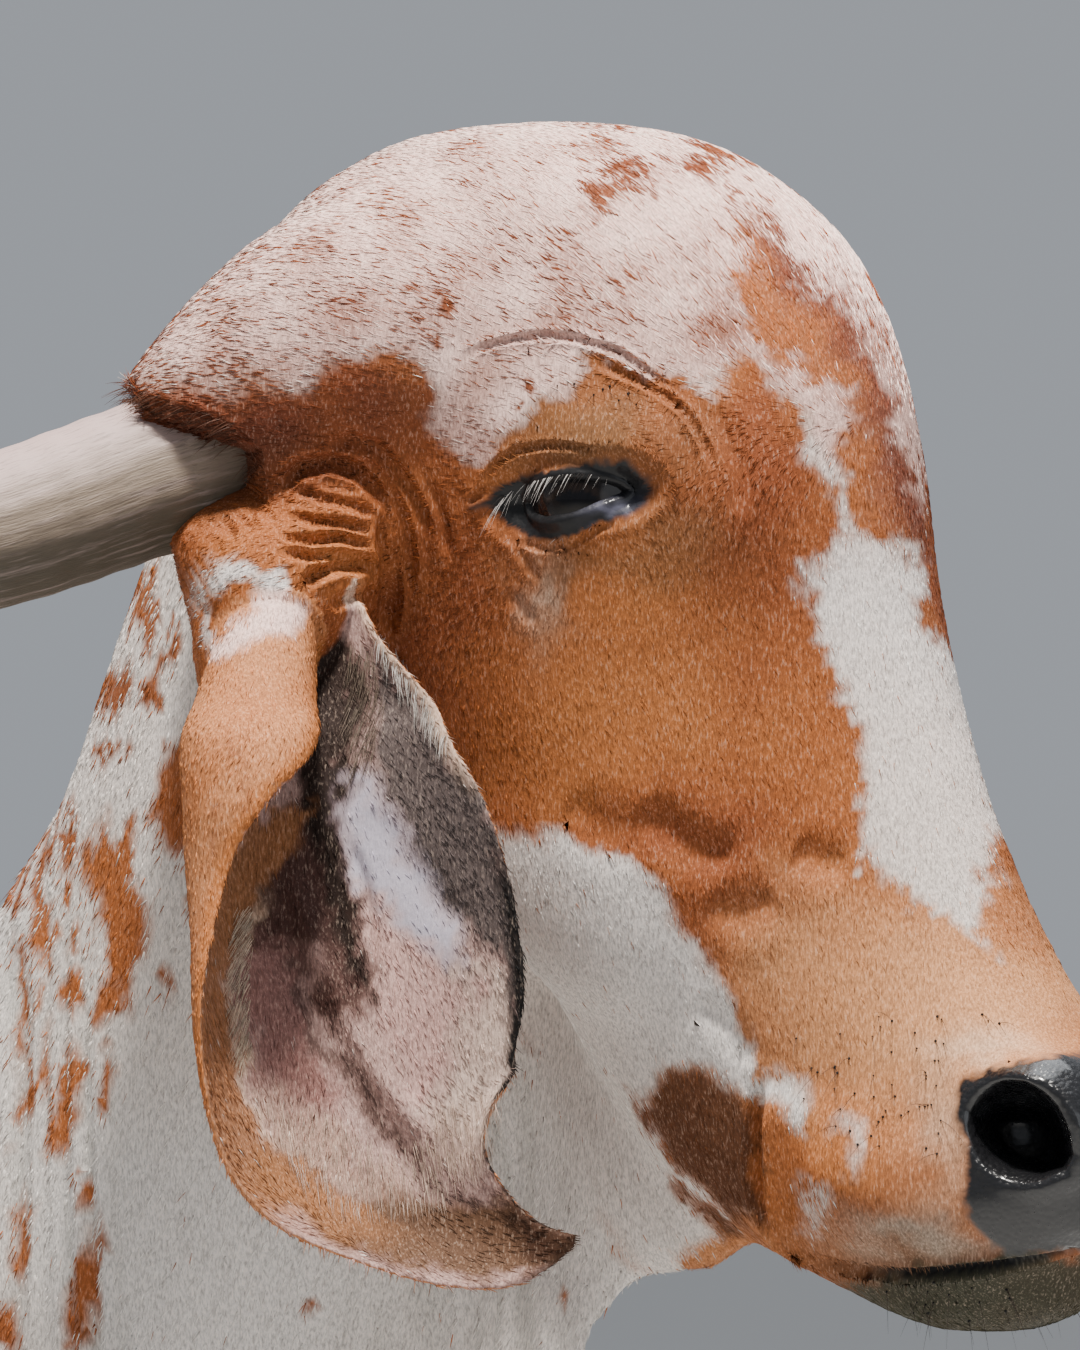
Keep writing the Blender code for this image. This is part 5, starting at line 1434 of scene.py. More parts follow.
def growTufts(name, base, weights, plan, seed, slot, foldShade=None):
    count = int(plan["count"] * coatPlan["share"])
    corners, shares, dice = scatter(base, weights, count, seed)
    roots = blended(base["points"], corners, shares)
    normals = unit(blended(base["normals"], corners, shares))
    closest = corners[np.arange(count), shares.argmax(1)]
    places = paint(roots, normals, {key: value[closest] for key, value in base["kept"].items()})
    keep = dice.uniform(0, 1, count) > ramp(places["bare"], 0.15, 0.6)
    # painted shade from the folds darkens these tufts and also shortens them
    shade = 1 - 0.72 * (blended(foldShade, corners, shares) if foldShade is not None else np.zeros(count))
    roots, normals, shade = roots[keep], normals[keep], shade[keep, None]
    places = {key: value[keep] for key, value in places.items()}
    count = len(roots)
    ways = hairWay(roots, normals, places)
    turn = dice.normal(0, coatPlan["spread"], count)[:, None]
    ways = unit(ways * np.cos(turn) + np.cross(normals, ways) * np.sin(turn))
    size = tuftScale(roots, places["near"], places["onHead"])[:, None] * dice.uniform(0.75, 1.25, (count, 1))
    high = plan["lift"] * size * dice.uniform(0.35, 1.5, (count, 1))
    reach = np.concatenate([plan["long"] * size * (0.35 + 0.65 * shade), plan["wide"] * size ** 0.5, high], 1)
    lean = unit(ways + normals * 0.02)
    white = places["white"]
    isWhite = dice.uniform(0, 1, count) < 0.5 * ramp(white, 0.10, 0.90) + 0.5 * white
    tone = np.where(isWhite[:, None], places["pale"], places["brown"])
    tone = tone * dice.uniform(*coatPlan["vary"], (count, 1)) ** np.where(isWhite[:, None], 0.6, 1.0) * shade
    roots = roots - normals * 0.00035
    uvRoot = uvAt(roots)
    patch = np.array([(0, 0), (1, 0), (0.3, 0.6), (0.5, 1)]) * coatPlan["patch"]
    corner = np.array([0, 2, 1, 0, 3, 2, 1, 2, 3, 0, 1, 3])
    order = np.argsort(roots[:, 0] * 4 // 1, kind="stable")
    parts = max(1, math.ceil(count / coatPlan["pieceTufts"]))
    pieces = []
    for part, chosen in enumerate(np.array_split(order, parts)):
        mesh = bpy.data.meshes.new(name)
        mesh.vertices.add(len(chosen))
        mesh.vertices.foreach_set("co", roots[chosen].astype(np.float32).ravel())
        for label, values in (("along", lean), ("outward", normals), ("reach", reach)):
            made = mesh.attributes.new(label, "FLOAT_VECTOR", "POINT")
            made.data.foreach_set("vector", values[chosen].astype(np.float32).ravel())
        piece = addObject(name if parts == 1 else f"{name}{part + 1}", mesh)
        grown(piece, tuftTree, {"Tuft": tuft, "Coat": coatMaterial})
        mesh = piece.data
        for label in ("along", "outward", "reach"):
            if label in mesh.attributes:
                mesh.attributes.remove(mesh.attributes[label])
        # painted shade at each tuft's root and a painted highlight at its tip
        some = np.repeat(tone[chosen], 4, axis=0) * np.tile((0.80, 0.80, 1.0, 1.12), len(chosen))[:, None]
        setColour(mesh, "tone", np.clip(some, 0, 0.95))
        uv = np.repeat(uvRoot[chosen] * (1 - coatPlan["patch"]), 12, axis=0) + np.tile(patch[corner], (len(chosen), 1))
        mesh.uv_layers.new(name="OFBake").data.foreach_set("uv", uv.astype(np.float32).ravel())
        pieces.append((piece, slot))
    return pieces


def paintSkinShade():
    # painted shade: darker in the folds, and the head's haired skin a little darker as shade under the coat
    shade = (1 - 0.75 * skinFoldShade) * (1 - 0.22 * coat["onHead"] * (1 - coat["bare"]))
    setColour(skinMesh, "tone", mixed(coat["brown"], coat["pale"], coat["white"]) * shade[:, None])


paintSkinShade()
tuft = tuftShape()
isEar = coat["ear"] >= 0
headSkin = surface(skinPoints, skinTriangles, skinNormals, skinKept)
fineNormals = normalsOf(finePoints, fineTriangles)
fineHead = toHead(finePoints)
fineOnHead = napeSide(fineHead)
bodyDepth = skinPlan["bodyDepth"] + (skinPlan["headDepth"] - skinPlan["bodyDepth"]) * fineOnHead
fineKept = {"ear": np.full(len(finePoints), -1), "cup": np.zeros(len(finePoints), bool), "lips": np.zeros(len(finePoints))}
bodySkin = surface(finePoints - fineNormals * bodyDepth[:, None], fineTriangles, fineNormals, fineKept)
neckZone = ramp(fineHead[:, 0], -0.42, -0.30) * ramp(fineHead[:, 2], 0.78, 0.66)
nearNeck = (1 - fineOnHead) * neckZone
bodyWeight = (1 - fineOnHead) * (1 - neckZone) * (0.6 + 0.9 * ramp(finePoints[:, 2], 0.7, 0.3))
coatPieces = []
headWeight = coat["onHead"] * ~isEar * (coat["bare"] < 0.6)
coatPieces += growTufts("headCoat", headSkin, headWeight, coatPlan["head"], 1, "head_hide", skinFoldShade)
coatPieces += growTufts("earCoat", headSkin, isEar * 1.0, coatPlan["ears"], 2, "ear_hide", skinFoldShade)
coatPieces += growTufts("neckCoat", bodySkin, nearNeck, coatPlan["neck"], 3, "neck_hide")
coatPieces += growTufts("bodyCoat", bodySkin, bodyWeight, coatPlan["body"], 4, "body_hide")
bpy.data.objects.remove(tuft)


print("stage: eyes, horns, hooves")


def eyeMaterial():
    made, tree, shader, place = startMaterial("eyeWet", 0.09, 0.24)
    tone = attributeWire(tree, "tone", "Color")
    grain = place.noise(900, 3.0, 0.6)
    tree.links.new(((grain - 0.5) * 0.8 + 0.2).mixColour(tone, (0.004, 0.003, 0.003, 1)).socket, shader.inputs["Base Color"])
    return made


eyePlan = {"rings": 40, "around": 64, "corneaBulge": 0.0016, "iris": 0.0105, "pupil": (0.0085, 0.0036),
           "lookOut": (0.35, -1.0, 0.02)}
eyeFinish = eyeMaterial()


def makeEye(name, side):
    out = unit(np.array(eyePlan["lookOut"]) * (1, -side, 1))
    along = unit(np.cross((0, 0, 1.0), out))
    up = np.cross(out, along)
    points, tones = [], []
    for r in range(1, eyePlan["rings"]):
        angle = math.pi * r / eyePlan["rings"]
        for a in np.arange(eyePlan["around"]) * 2 * math.pi / eyePlan["around"]:
            reach = eyeRadius * math.sin(angle)
            bulge = eyePlan["corneaBulge"] * ramp(reach, eyePlan["iris"] * 1.25, 0.0) * (angle < math.pi / 2)
            points.append(out * (eyeRadius * math.cos(angle) + bulge) * 0.999
                          + (along * math.cos(a) + up * math.sin(a)) * reach * 0.999)
            inPupil = math.hypot(reach * math.cos(a) / eyePlan["pupil"][0], reach * math.sin(a) / eyePlan["pupil"][1]) < 1
            iris = reach < eyePlan["iris"] and angle < math.pi / 2
            tones.append((0.002, 0.002, 0.003) if inPupil and iris else (0.008, 0.005, 0.004) if iris else (0.014, 0.011, 0.011))
    points += [out * (eyeRadius + eyePlan["corneaBulge"]) * 0.999, -out * eyeRadius * 0.999]
    tones += [(0.002, 0.002, 0.003), (0.03, 0.02, 0.02)]
    n = eyePlan["around"]
    faces = []
    for r in range(eyePlan["rings"] - 2):
        for i in range(n):
            a, b = r * n + i, r * n + (i + 1) % n
            faces += [(a, a + n, b + n), (a, b + n, b)]
    last = (eyePlan["rings"] - 2) * n
    for i in range(n):
        faces.append((len(points) - 2, i, (i + 1) % n))
        faces.append((last + i, len(points) - 1, last + (i + 1) % n))
    centre = np.array((headPlan["eyeAhead"], headPlan["eyeSide"] * side, headPlan["eyeBelow"]))
    mesh = fastMesh(name, fromHead(np.array(points) + centre), faces)
    bm = bmesh.new()
    bm.from_mesh(mesh)
    bmesh.ops.recalc_face_normals(bm, faces=bm.faces)
    bm.to_mesh(mesh)
    bm.free()
    setColour(mesh, "tone", np.array(tones))
    mesh.polygons.foreach_set("use_smooth", np.ones(len(mesh.polygons), bool))
    mesh.materials.append(eyeFinish)
    return addObject(name, mesh)


eyes = {side: makeEye(f"eyeball_{side}", sign) for side, sign in (("right", -1), ("left", 1))}

def hornMaterial():
    made, tree, shader, place = startMaterial("hornSheath", 0.5, 0.35)
    tone = attributeWire(tree, "tone", "Color")
    strand = attributeWire(tree, "strand", "Vector")
    fibre = strand.stretched((1, 1, 0.07)).noise(330, 4.0, 0.65)
    fine = strand.stretched((1, 1, 0.10)).noise(1100, 3.0, 0.6)
    patchy = strand.noise(38, 3.0, 0.55)
    pale = ((fibre - 0.52) * 4.5).mixColour(tone, (0.44, 0.34, 0.32, 1))
    worn = (patchy * 0.8).mixColour(tone, pale)
    dark = ((0.47 - fine) * 6.0).mixColour(worn, (0.045, 0.036, 0.026, 1))
    tree.links.new((fibre * 0.9).mixColour(worn, dark).socket, shader.inputs["Base Color"])
    tree.links.new((0.42 + fibre * 0.3).socket, shader.inputs["Roughness"])
    bumped(tree, shader, fibre * 0.8 + fine * 0.6, 0.8, 0.0009)
    return made


def hornTree():
    # a tapered sheath along its axis, with low rings that follow its length and fine fibres
    tree, given = geometryTree("hornTree", (("Points", "Int", 150), ("Sides", "Int", 96), ("Ring height", "Float", 0.0004),
                                            ("Ring spacing", "Float", 0.021), ("Fibre height", "Float", 0.0007),
                                            ("Seed", "Float", 3.0), ("Finish", "Material", None)))
    axis = given["Geometry"]
    curve = axis.out(axis.node("GeometryNodeMeshToCurve", None, Mesh=axis))
    curve = axis.out(axis.node("GeometryNodeResampleCurve", None, Curve=curve, Count=given["Points"]))
    thick = named(axis, "FLOAT", "thick")
    curve = axis.out(axis.node("GeometryNodeSetCurveRadius", None, Curve=curve, Radius=thick))
    length = axis.out(axis.node("GeometryNodeSplineParameter"), 1)
    kept = axis.node("GeometryNodeStoreNamedAttribute", {"data_type": "FLOAT"}, Geometry=curve, Name="length", Value=length)
    ring = axis.node("GeometryNodeCurvePrimitiveCircle", None, Resolution=given["Sides"], Radius=1.0)
    around = axis.out(axis.node("GeometryNodeSplineParameter"), 0)
    ring = axis.node("GeometryNodeStoreNamedAttribute", {"data_type": "FLOAT"}, Geometry=axis.out(ring), Name="around",
                     Value=around)
    solid = axis.node("GeometryNodeCurveToMesh", None, Curve=axis.out(kept), Profile_Curve=axis.out(ring), Fill_Caps=True)
    if "Scale" in solid.inputs:
        tree.links.new(thick.socket, solid.inputs["Scale"])
    turn = named(axis, "FLOAT", "around") * (2 * math.pi)
    far = named(axis, "FLOAT", "length")
    cosine, sine = turn.sum("COSINE", turn) * 0.03, turn.sum("SINE", turn) * 0.03
    place = axis.node("ShaderNodeCombineXYZ", None, X=cosine, Y=sine, Z=far)
    solid = axis.node("GeometryNodeStoreNamedAttribute", {"data_type": "FLOAT_VECTOR"}, Geometry=axis.out(solid), Name="strand",
                      Value=axis.out(place))
    stretched = axis.node("ShaderNodeCombineXYZ", None, X=cosine, Y=sine, Z=far * 0.06 + given["Seed"])
    fibre = axis.out(stretched).noise(260.0, 3.0, 0.6)
    wave = far / given["Ring spacing"] * (2 * math.pi)
    rings = wave.sum("SINE", wave + fibre * 1.5) * given["Ring height"] * (1 - far * 3.2)
    push = rings + (fibre - 0.5) * given["Fibre height"] * 2.0
    normal = axis.node("GeometryNodeInputNormal")
    offset = axis.node("ShaderNodeVectorMath", {"operation": "SCALE"}, Scale=push)
    tree.links.new(normal.outputs[0], offset.inputs[0])
    solid = axis.node("GeometryNodeSetPosition", None, Geometry=axis.out(solid), Offset=axis.out(offset))
    endTree(tree, axis.out(solid), given["Finish"])
    return tree


hornFinish, hornShape = hornMaterial(), hornTree()
hornLook = {"steps": 16, "points": 170, "sides": 96, "ringHeight": 0.00035, "ringSpacing": 0.019, "fibreHeight": 0.0008}


def makeHorn(name, side):
    rows = smoothRows((hornPlan["start"],) + hornPlan["rows"] + ((-.208, .3785, -.008, .0012),), hornLook["steps"])
    line = fromHead(rows[:, :3] * (1, side, 1))
    obj = guideObject(name, line[None], np.maximum(rows[None, :, 3], 0.0010), np.ones((1, len(rows), 3)))
    grown(obj, hornShape, {"Points": hornLook["points"], "Sides": hornLook["sides"], "Ring height": hornLook["ringHeight"],
                           "Ring spacing": hornLook["ringSpacing"], "Fibre height": hornLook["fibreHeight"],
                           "Finish": hornFinish})
    mesh = obj.data
    bm = bmesh.new()
    bm.from_mesh(mesh)
    bmesh.ops.remove_doubles(bm, verts=bm.verts, dist=1e-6)
    bmesh.ops.recalc_face_normals(bm, faces=bm.faces)
    bm.to_mesh(mesh)
    bm.free()
    points = pointsOf(mesh)
    normals = normalsOf(points, trianglesOf(mesh))
    strand = np.empty(len(points) * 3, np.float32)
    mesh.attributes["strand"].data.foreach_get("vector", strand)
    far = strand.reshape(-1, 3)[:, 2]
    share = far / far.max()
    upness = normals[:, 2]
    tone = np.tile(np.array((0.21, 0.160, 0.120)), (len(points), 1))
    # painted light and shade: the sheath lighter where it faces up and darker where it faces down
    tone = mixed(tone, (0.42, 0.30, 0.28), ramp(upness, 0.10, 0.90) * (1 - 0.75 * ramp(share, 0.3, 0.7)))
    tone = mixed(tone, (0.045, 0.038, 0.024), ramp(upness, 0.10, -0.5) * 0.90)
    tone = mixed(tone, (0.11, 0.09, 0.075), ramp(share, 0.50, 0.80) * 0.75)
    tone = mixed(tone, (0.030, 0.026, 0.024), ramp(share, 0.75, 0.97))
    tone = mixed(tone, (0.12, 0.085, 0.06), 0.6 * ramp(share, 0.165, 0.10))
    for label in ("tone", "thick", "length", "around"):
        if label in mesh.attributes:
            mesh.attributes.remove(mesh.attributes[label])
    setColour(mesh, "tone", tone)
    mesh.polygons.foreach_set("use_smooth", np.ones(len(mesh.polygons), bool))
    return obj


horns = {side: makeHorn(f"hornSheath_{side}", sign) for side, sign in (("right", -1), ("left", 1))}


def hoofMaterial():
    made, tree, shader, place = startMaterial("hoofHorn", 0.45, 0.4)
    streak = place.stretched((1, 1, 0.10)).noise(520, 3.0, 0.6)
    ring = place.stretched((0.2, 0.2, 1)).noise(260, 2.0, 0.5)
    colour = ((streak - 0.4) * 2.5).mixColour((0.028, 0.024, 0.022, 1), (0.12, 0.10, 0.085, 1))
    tree.links.new(((ring - 0.5) * 2.0).mixColour(colour, (0.05, 0.043, 0.038, 1)).socket, shader.inputs["Base Color"])
    tree.links.new((0.38 + streak * 0.25).socket, shader.inputs["Roughness"])
    bumped(tree, shader, streak * 0.4 + ring * 0.7, 0.6, 0.0012)
    return made


hoofFinish = hoofMaterial()


def makeHoof(node):
    mesh = closedCopy(node, 0.0)
    obj = addObject(node.replace("hoof", "claw"), mesh)
    bevel = obj.modifiers.new("round", "BEVEL")
    bevel.width = 0.0022
    bevel.segments = 3
    bevel.limit_method = "ANGLE"
    bevel.angle_limit = math.radians(28)
    fine = obj.modifiers.new("fine", "SUBSURF")
    fine.levels = fine.render_levels = 2
    evaluated(obj)
    points = pointsOf(obj.data)
    low = points[:, 2].min()
    points[:, 2] += -low
    rings = np.sin(points[:, 2] * 900) * 0.00022 * ramp(points[:, 2], 0.004, 0.010)
    normals = normalsOf(points, trianglesOf(obj.data))
    points += normals * rings[:, None]
    points[:, 2] = np.maximum(points[:, 2], 0)
    obj.data.vertices.foreach_set("co", points.astype(np.float32).ravel())
    obj.data.polygons.foreach_set("use_smooth", np.ones(len(obj.data.polygons), bool))
    obj.data.materials.clear()
    obj.data.materials.append(hoofFinish)
    obj.data.update()
    return obj


claws = {node: makeHoof(node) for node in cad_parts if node.startswith("hoof")}

# the tail's switch: long curved locks over its core
switchPlan = {"locks": 420, "wide": 0.0052, "flat": 0.35, "steps": 9, "points": 9}


def makeSwitch():
    low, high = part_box("tail_switch")
    middle = np.array(((low.x + high.x) / 2, (low.y + high.y) / 2))
    dice = np.random.default_rng(17)
    span = high.z - low.z
    lines, radii, tones = [], [], []
    step = np.linspace(0, 1, switchPlan["steps"])
    for n in range(switchPlan["locks"]):
        share = (n + dice.uniform()) / switchPlan["locks"]
        root = high.z - 0.012 - share * span * 0.45
        tip = low.z + dice.uniform(0.002, 0.17) * (1 - 0.4 * share)
        angle = n * 2.39996 + dice.normal(0, 0.2) + dice.normal(0, 0.35) * step
        bulge = (0.5 * (high.x - low.x) - 0.012) * dice.uniform(0.45, 1.0) * (1 - 0.35 * share)
        out = 0.007 + 0.004 * (1 - share) + bulge * np.sin(math.pi * (0.03 + 0.83 * step))
        sway = dice.normal(0, 0.005, 2)
        line = np.stack([middle[0] + sway[0] * step + np.cos(angle) * out, middle[1] + sway[1] * step + np.sin(angle) * out,
                         root + (tip - root) * step], 1)
        lines.append(line)
        radii.append(switchPlan["wide"] / 2 * dice.uniform(0.6, 1.2) * (1 - 0.94 * step ** 2.2))
        dark = np.array((0.040, 0.026, 0.018)) * dice.uniform(0.5, 1.7)
        tan = np.array((0.30, 0.15, 0.08)) * dice.uniform(0.6, 1.2)
        tone = dark if dice.uniform() > 0.16 + 0.3 * (share < 0.1) else tan
        tones.append(tone * (0.75 + 0.45 * step[:, None]))
    obj = strands("switchLocks", np.array(lines), np.array(radii), np.array(tones), hairMaterial,
                  switchPlan["points"], 4, switchPlan["flat"], 0.9)
    return obj


switch = makeSwitch()


print("stage: lashes, whiskers and long hair")
# strands of the near side by the pixels of their roots: count, length, thickness, way in the head's frame
lashPlan = {"upper": 64, "lower": 30, "long": 0.019, "thick": 0.00017}
whiskerPlan = {"muzzle": 55, "chin": 18, "long": 0.030, "thick": 0.00013, "spot": 0.00055}


def bentLines(roots, ways, drops, lengths, steps, curl):
    # starts along its way and bends towards drop; all in world space
    step = np.linspace(0, 1, steps)[None, :, None]
    lengths = lengths[:, None, None]
    return roots[:, None] + lengths * (ways[:, None] * step + curl * drops[:, None] * step ** 2)


def taper(count, steps, thick, dice, tip=0.15):
    step = np.linspace(0, 1, steps)[None]
    return thick * dice.uniform(0.7, 1.3, (count, 1)) * (1 - (1 - tip) * step ** 1.5)


def alongLine(pixels, count, dice):
    line = smoothRows([(x, y, 0) for x, y in pixels], 12)[:, :2]
    lengths = np.concatenate([[0], np.cumsum(np.linalg.norm(np.diff(line, axis=0), axis=1))])
    at = np.sort(dice.uniform(0, lengths[-1], count))
    return np.stack([np.interp(at, lengths, line[:, i]) for i in range(2)], 1), at / lengths[-1]


def eyeballPoint(pixels, radius):
    # place on a ball round the near eye that a pixel shows
    made = []
    middle = fromHead(eyeNear)
    for x, y in pixels:
        start, way = pixelRay(x, y)
        along = (middle - start) @ way
        off = start + way * along - middle
        made.append(start + way * (along - math.sqrt(max(radius ** 2 - off @ off, 1e-6))))
    return toHead(np.array(made))


def makeLashes():
    dice = np.random.default_rng(23)
    made = []
    for pixels, count, long, way, drop in (
            ([(497, 507), (505, 497), (518, 487), (540, 479), (565, 474), (590, 472), (612, 473)], lashPlan["upper"],
             lashPlan["long"], (0.25, -0.80, -0.05), (-0.42, -0.05, 0.95)),
            ([(507, 526), (528, 536), (555, 536), (582, 529), (606, 520)], lashPlan["lower"], 0.007, (0.1, -0.75, 0.5), (-.1, 0, .3))):
        at, share = alongLine(pixels, count, dice)
        roots = eyeballPoint(at, eyeRadius + 0.0018)
        ways = unit(np.array(way) + dice.normal(0, 0.12, (count, 3)))
        drops = unit(np.array(drop) + dice.normal(0, 0.10, (count, 3)))
        lengths = long * dice.uniform(0.65, 1.1, count) * (1 - 0.55 * share)
        made.append((roots, ways, drops, lengths, share))
    roots, ways, drops, lengths, share = (np.concatenate(part) for part in zip(*made))
    lines = bentLines(roots, ways * 0.55, drops, lengths, 8, 0.85)
    count = len(lines)
    pale = dice.uniform(0, 1, count) < np.where(share < 0.62, 0.75, 0.25)
    tones = np.where(pale[:, None], (0.62, 0.59, 0.57), (0.02, 0.016, 0.015)) * dice.uniform(0.6, 1.1, (count, 1))
    lines = np.concatenate([fromHead(lines.reshape(-1, 3)), fromHead(lines.reshape(-1, 3) * (1, -1, 1))]).reshape(-1, 8, 3)
    radii = np.tile(taper(count, 8, lashPlan["thick"], dice), (2, 1))
    tones = np.tile(np.repeat(tones[:, None], 8, axis=1), (2, 1, 1))
    return strands("lashes", lines, radii, tones, hairMaterial, 8, 3)


def skinRoots(outline, count, seed):
    # seeded places of the skin whose near-side pixel lies within an outline
    dice = np.random.default_rng(seed)
    low, high = np.min(outline, axis=0), np.max(outline, axis=0)
    pixels = dice.uniform(low, high, (count * 3, 2))
    pixels = pixels[insideOutline(pixels, outline)[0] < 0][:count]
    near = castPixels(pixels.tolist(), finalTree)
    hits = [finalTree.find_nearest(Vector(p)) for p in fromHead(near)]
    normals = np.array([hit[1] for hit in hits]) @ headAxes.T
    return near, normals, dice


def makeWhiskers():
    groups = []
    for outline, count, seed, long in (
            ([(785, 1040), (900, 1010), (1010, 1015), (975, 1055), (945, 1090), (950, 1165), (880, 1170), (800, 1100)],
             whiskerPlan["muzzle"], 31, whiskerPlan["long"]),
            ([(860, 1280), (1000, 1275), (1040, 1300), (980, 1325), (900, 1310)], whiskerPlan["chin"], 32, 0.022),
            ([(545, 372), (600, 378), (650, 400), (655, 412), (600, 396), (548, 388)], 10, 33, 0.035)):
        near, normals, dice = skinRoots(outline, count, seed)
        ways = unit(normals + (0.35, 0, 0.25) + dice.normal(0, 0.18, normals.shape))
        drops = np.tile(np.array((0.0, 0, 1.0)), (len(near), 1))
        lengths = long * dice.uniform(0.35, 1.1, len(near))
        groups.append((near, ways, drops, lengths, normals))
    near, ways, drops, lengths, normals = (np.concatenate(part) for part in zip(*groups))
    dice = np.random.default_rng(34)
    lines = bentLines(near, ways, drops, lengths, 7, 0.25)
    count = len(lines)
    radii = taper(count, 7, whiskerPlan["thick"], dice, 0.25)
    tones = np.repeat((np.array((0.05, 0.035, 0.03)) * dice.uniform(0.4, 1.6, (count, 1)))[:, None], 7, axis=1)
    spotLines = np.stack([near - normals * 0.0006, near + normals * 0.0002, near + normals * 0.0009], 1)
    spotRadii = np.tile(np.array((1.0, 0.9, 0.35)) * whiskerPlan["spot"], (count, 1)) * dice.uniform(0.6, 1.3, (count, 1))
    spotTones = np.full((count, 3, 3), 0.022)

    def mirror(some):
        flat = some.reshape(-1, 3)
        return np.concatenate([fromHead(flat), fromHead(flat * (1, -1, 1))]).reshape(-1, *some.shape[1:])

    whiskers = strands("whiskers", mirror(lines), np.tile(radii, (2, 1)), np.tile(tones, (2, 1, 1)), hairMaterial, 7, 3)
    spots = strands("whiskerSpots", mirror(spotLines), np.tile(spotRadii, (2, 1)), np.tile(spotTones, (2, 1, 1)),
                    hairMaterial, 3, 8)
    return whiskers, spots


# long hair: outline of the roots in pixels, count, length, thickness, way, drop, colour, seed
longHair = {
    "hornHair": ([(95, 385), (150, 410), (205, 430), (240, 470), (225, 500), (262, 470), (235, 420), (170, 395), (110, 372)], 520,
                 0.012, 0.00020, (-0.60, -0.35, 0.15), (-0.35, -0.05, 0.8), (0.085, 0.036, 0.022), 41),
    "canalHair": ([(345, 640), (372, 640), (385, 700), (372, 760), (356, 770), (350, 720)], 200,
                  0.013, 0.00016, (0.10, -0.75, 0.5), (-0.25, -0.1, 0.6), (0.17, 0.13, 0.10), 42),
    "fringeHair": ([(372, 635), (385, 632), (412, 672), (452, 738), (446, 748), (405, 690)], 260,
                   0.011, 0.00016, (0.05, -0.65, 0.45), (0.30, -0.2, 0.5), (0.55, 0.50, 0.46), 43),
    "cupHair": ([(260, 1090), (330, 1110), (400, 1150), (440, 1100), (500, 1080), (490, 1150), (430, 1200), (360, 1210),
                 (300, 1180)],
                900, 0.011, 0.00014, (0.25, -0.45, 0.75), (0.2, 0.1, 0.5), (0.55, 0.40, 0.32), 44),
    "rimHair": ([(238, 900), (256, 905), (252, 990), (254, 1060), (240, 1060), (232, 980)], 380,
                0.011, 0.00016, (-0.30, -0.5, 0.7), (-0.2, 0.0, 0.5), (0.74, 0.60, 0.46), 45)}


def makeLongHair(name, outline, count, long, thick, way, drop, tone, seed):
    count = int(count * (1))
    near, normals, dice = skinRoots(outline, count, seed)
    count = len(near)
    flat = unit(np.array(way)) - normals * (normals @ unit(np.array(way)))[:, None]
    ways = unit(unit(flat) + normals * 0.30 + dice.normal(0, 0.10, normals.shape))
    lines = bentLines(near - normals * 0.0004, ways * 0.9, np.tile(unit(np.array(drop)), (count, 1)),
                      long * dice.uniform(0.55, 1.15, count), 6, 0.28)
    tones = np.repeat((np.array(tone) * dice.uniform(0.55, 1.35, (count, 1)))[:, None], 6, axis=1)
    mirrored = np.concatenate([fromHead(lines.reshape(-1, 3)), fromHead(lines.reshape(-1, 3) * (1, -1, 1))]).reshape(-1, 6, 3)
    return strands(name, mirrored, np.tile(taper(count, 6, thick, dice), (2, 1)), np.tile(tones, (2, 1, 1)), hairMaterial, 6, 3)


finalTree = skinTree()
lashes = makeLashes()
whiskers, whiskerSpots = makeWhiskers()
longHairs = [makeLongHair(name, *values) for name, values in longHair.items()]

print("stage: frame links")
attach(skin, "root")
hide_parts(*fleshNodes, "ear_right", "ear_left")
for piece, slot in coatPieces:
    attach(piece, "root")
for side in ("right", "left"):
    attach(eyes[side], "root")
    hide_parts(f"eye_{side}")
    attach(horns[side], "root")
    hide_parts(f"horn_{side}")
for node, claw in claws.items():
    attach(claw, "root")
    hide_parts(node)
for piece in (lashes, whiskers, whiskerSpots, *longHairs):
    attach(piece, "root")
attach(switch, "root")
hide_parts("tail_switch")

print("stage: floor, light and camera")


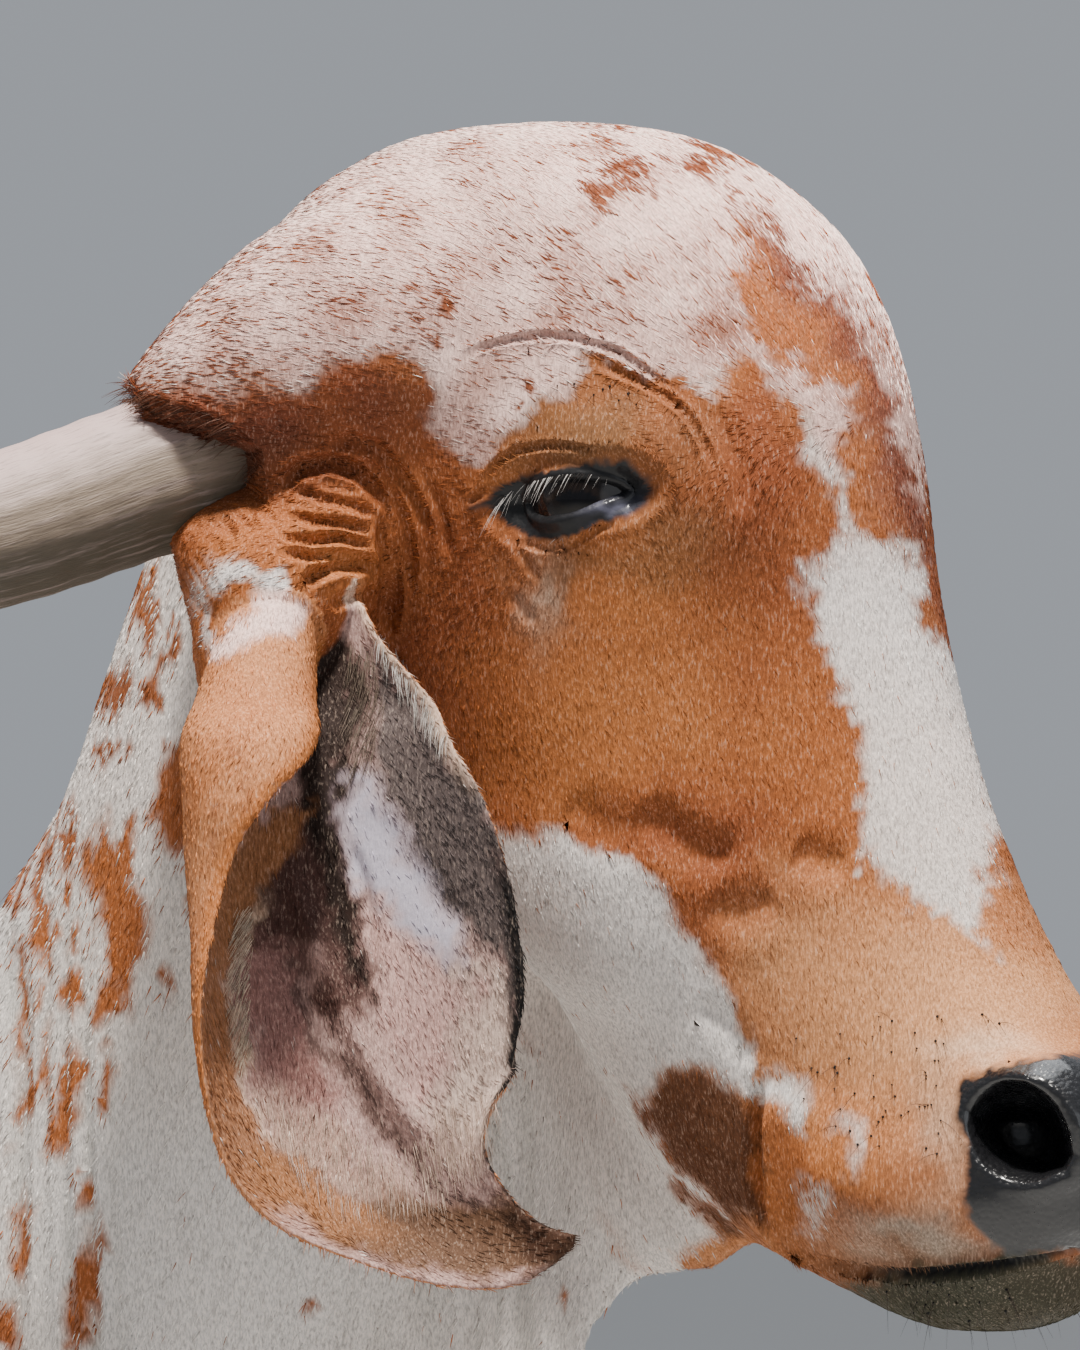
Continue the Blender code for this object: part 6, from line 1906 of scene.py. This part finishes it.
def makeFloor():
    mesh = fastMesh("floor", np.array(((-30, -30, 0), (30, -30, 0), (30, 30, 0), (-30, 30, 0)), float), [(0, 1, 2, 3)])
    floor = addObject("floor", mesh)
    made, tree, shader, place = startMaterial("paleFloor", 0.8, 0.2)
    shader.inputs["Base Color"].default_value = (0.72, 0.71, 0.69, 1)
    mesh.materials.append(made)
    return floor


makeFloor()
world = bpy.data.worlds.new("studio")
scene.world = world
world.use_nodes = True
world.node_tree.nodes["Background"].inputs[0].default_value = (0.82, 0.87, 0.95, 1)
world.node_tree.nodes["Background"].inputs[1].default_value = 0.42
lights = {"key": (viewBack * 1.15 - viewRight * 0.30 + upWay * 3.45, 0.45, 440, (1.0, 0.955, 0.89)),
          "fill": (viewBack * 2.6 + viewRight * 2.4 + upWay * 0.7, 2.4, 24, (0.92, 0.96, 1.0)),
          "top": (upWay * 2.8 - viewBack * 0.8 + viewRight * 0.6, 2.0, 60, (0.94, 0.97, 1.0))}


def aim(obj, place, target):
    obj.location = Vector(place)
    obj.rotation_mode = "QUATERNION"
    obj.rotation_quaternion = Vector(np.asarray(place) - np.asarray(target)).to_track_quat("Z", "Y")


for name, (offset, size, power, colour) in lights.items():
    lamp = bpy.data.lights.new(name, "AREA")
    lamp.size = size
    lamp.energy = power
    lamp.color = colour
    lampObject = addObject(name, lamp)
    aim(lampObject, headTop - upWay * 0.2 + offset, headTop - upWay * 0.25)

cameraPlan = {"photoSize": (1080, 1350), "sensor": 36}
camera = bpy.data.cameras.new("photoView")
camera.sensor_width = cameraPlan["sensor"]
camera.lens = cameraPlan["sensor"] * headPlan["cameraAway"] / (cameraPlan["photoSize"][1] * photoScale)
camera.clip_end = 100
cameraObject = addObject("photoView", camera)
centre = (headTop + viewRight * (cameraPlan["photoSize"][0] / 2 - headPlan["topPixel"][0]) * photoScale
          - upWay * (cameraPlan["photoSize"][1] / 2 - headPlan["topPixel"][1]) * photoScale)
aim(cameraObject, centre + viewBack * headPlan["cameraAway"], centre)
scene.camera = cameraObject

print("stage: done")
bpy.context.view_layer.update()
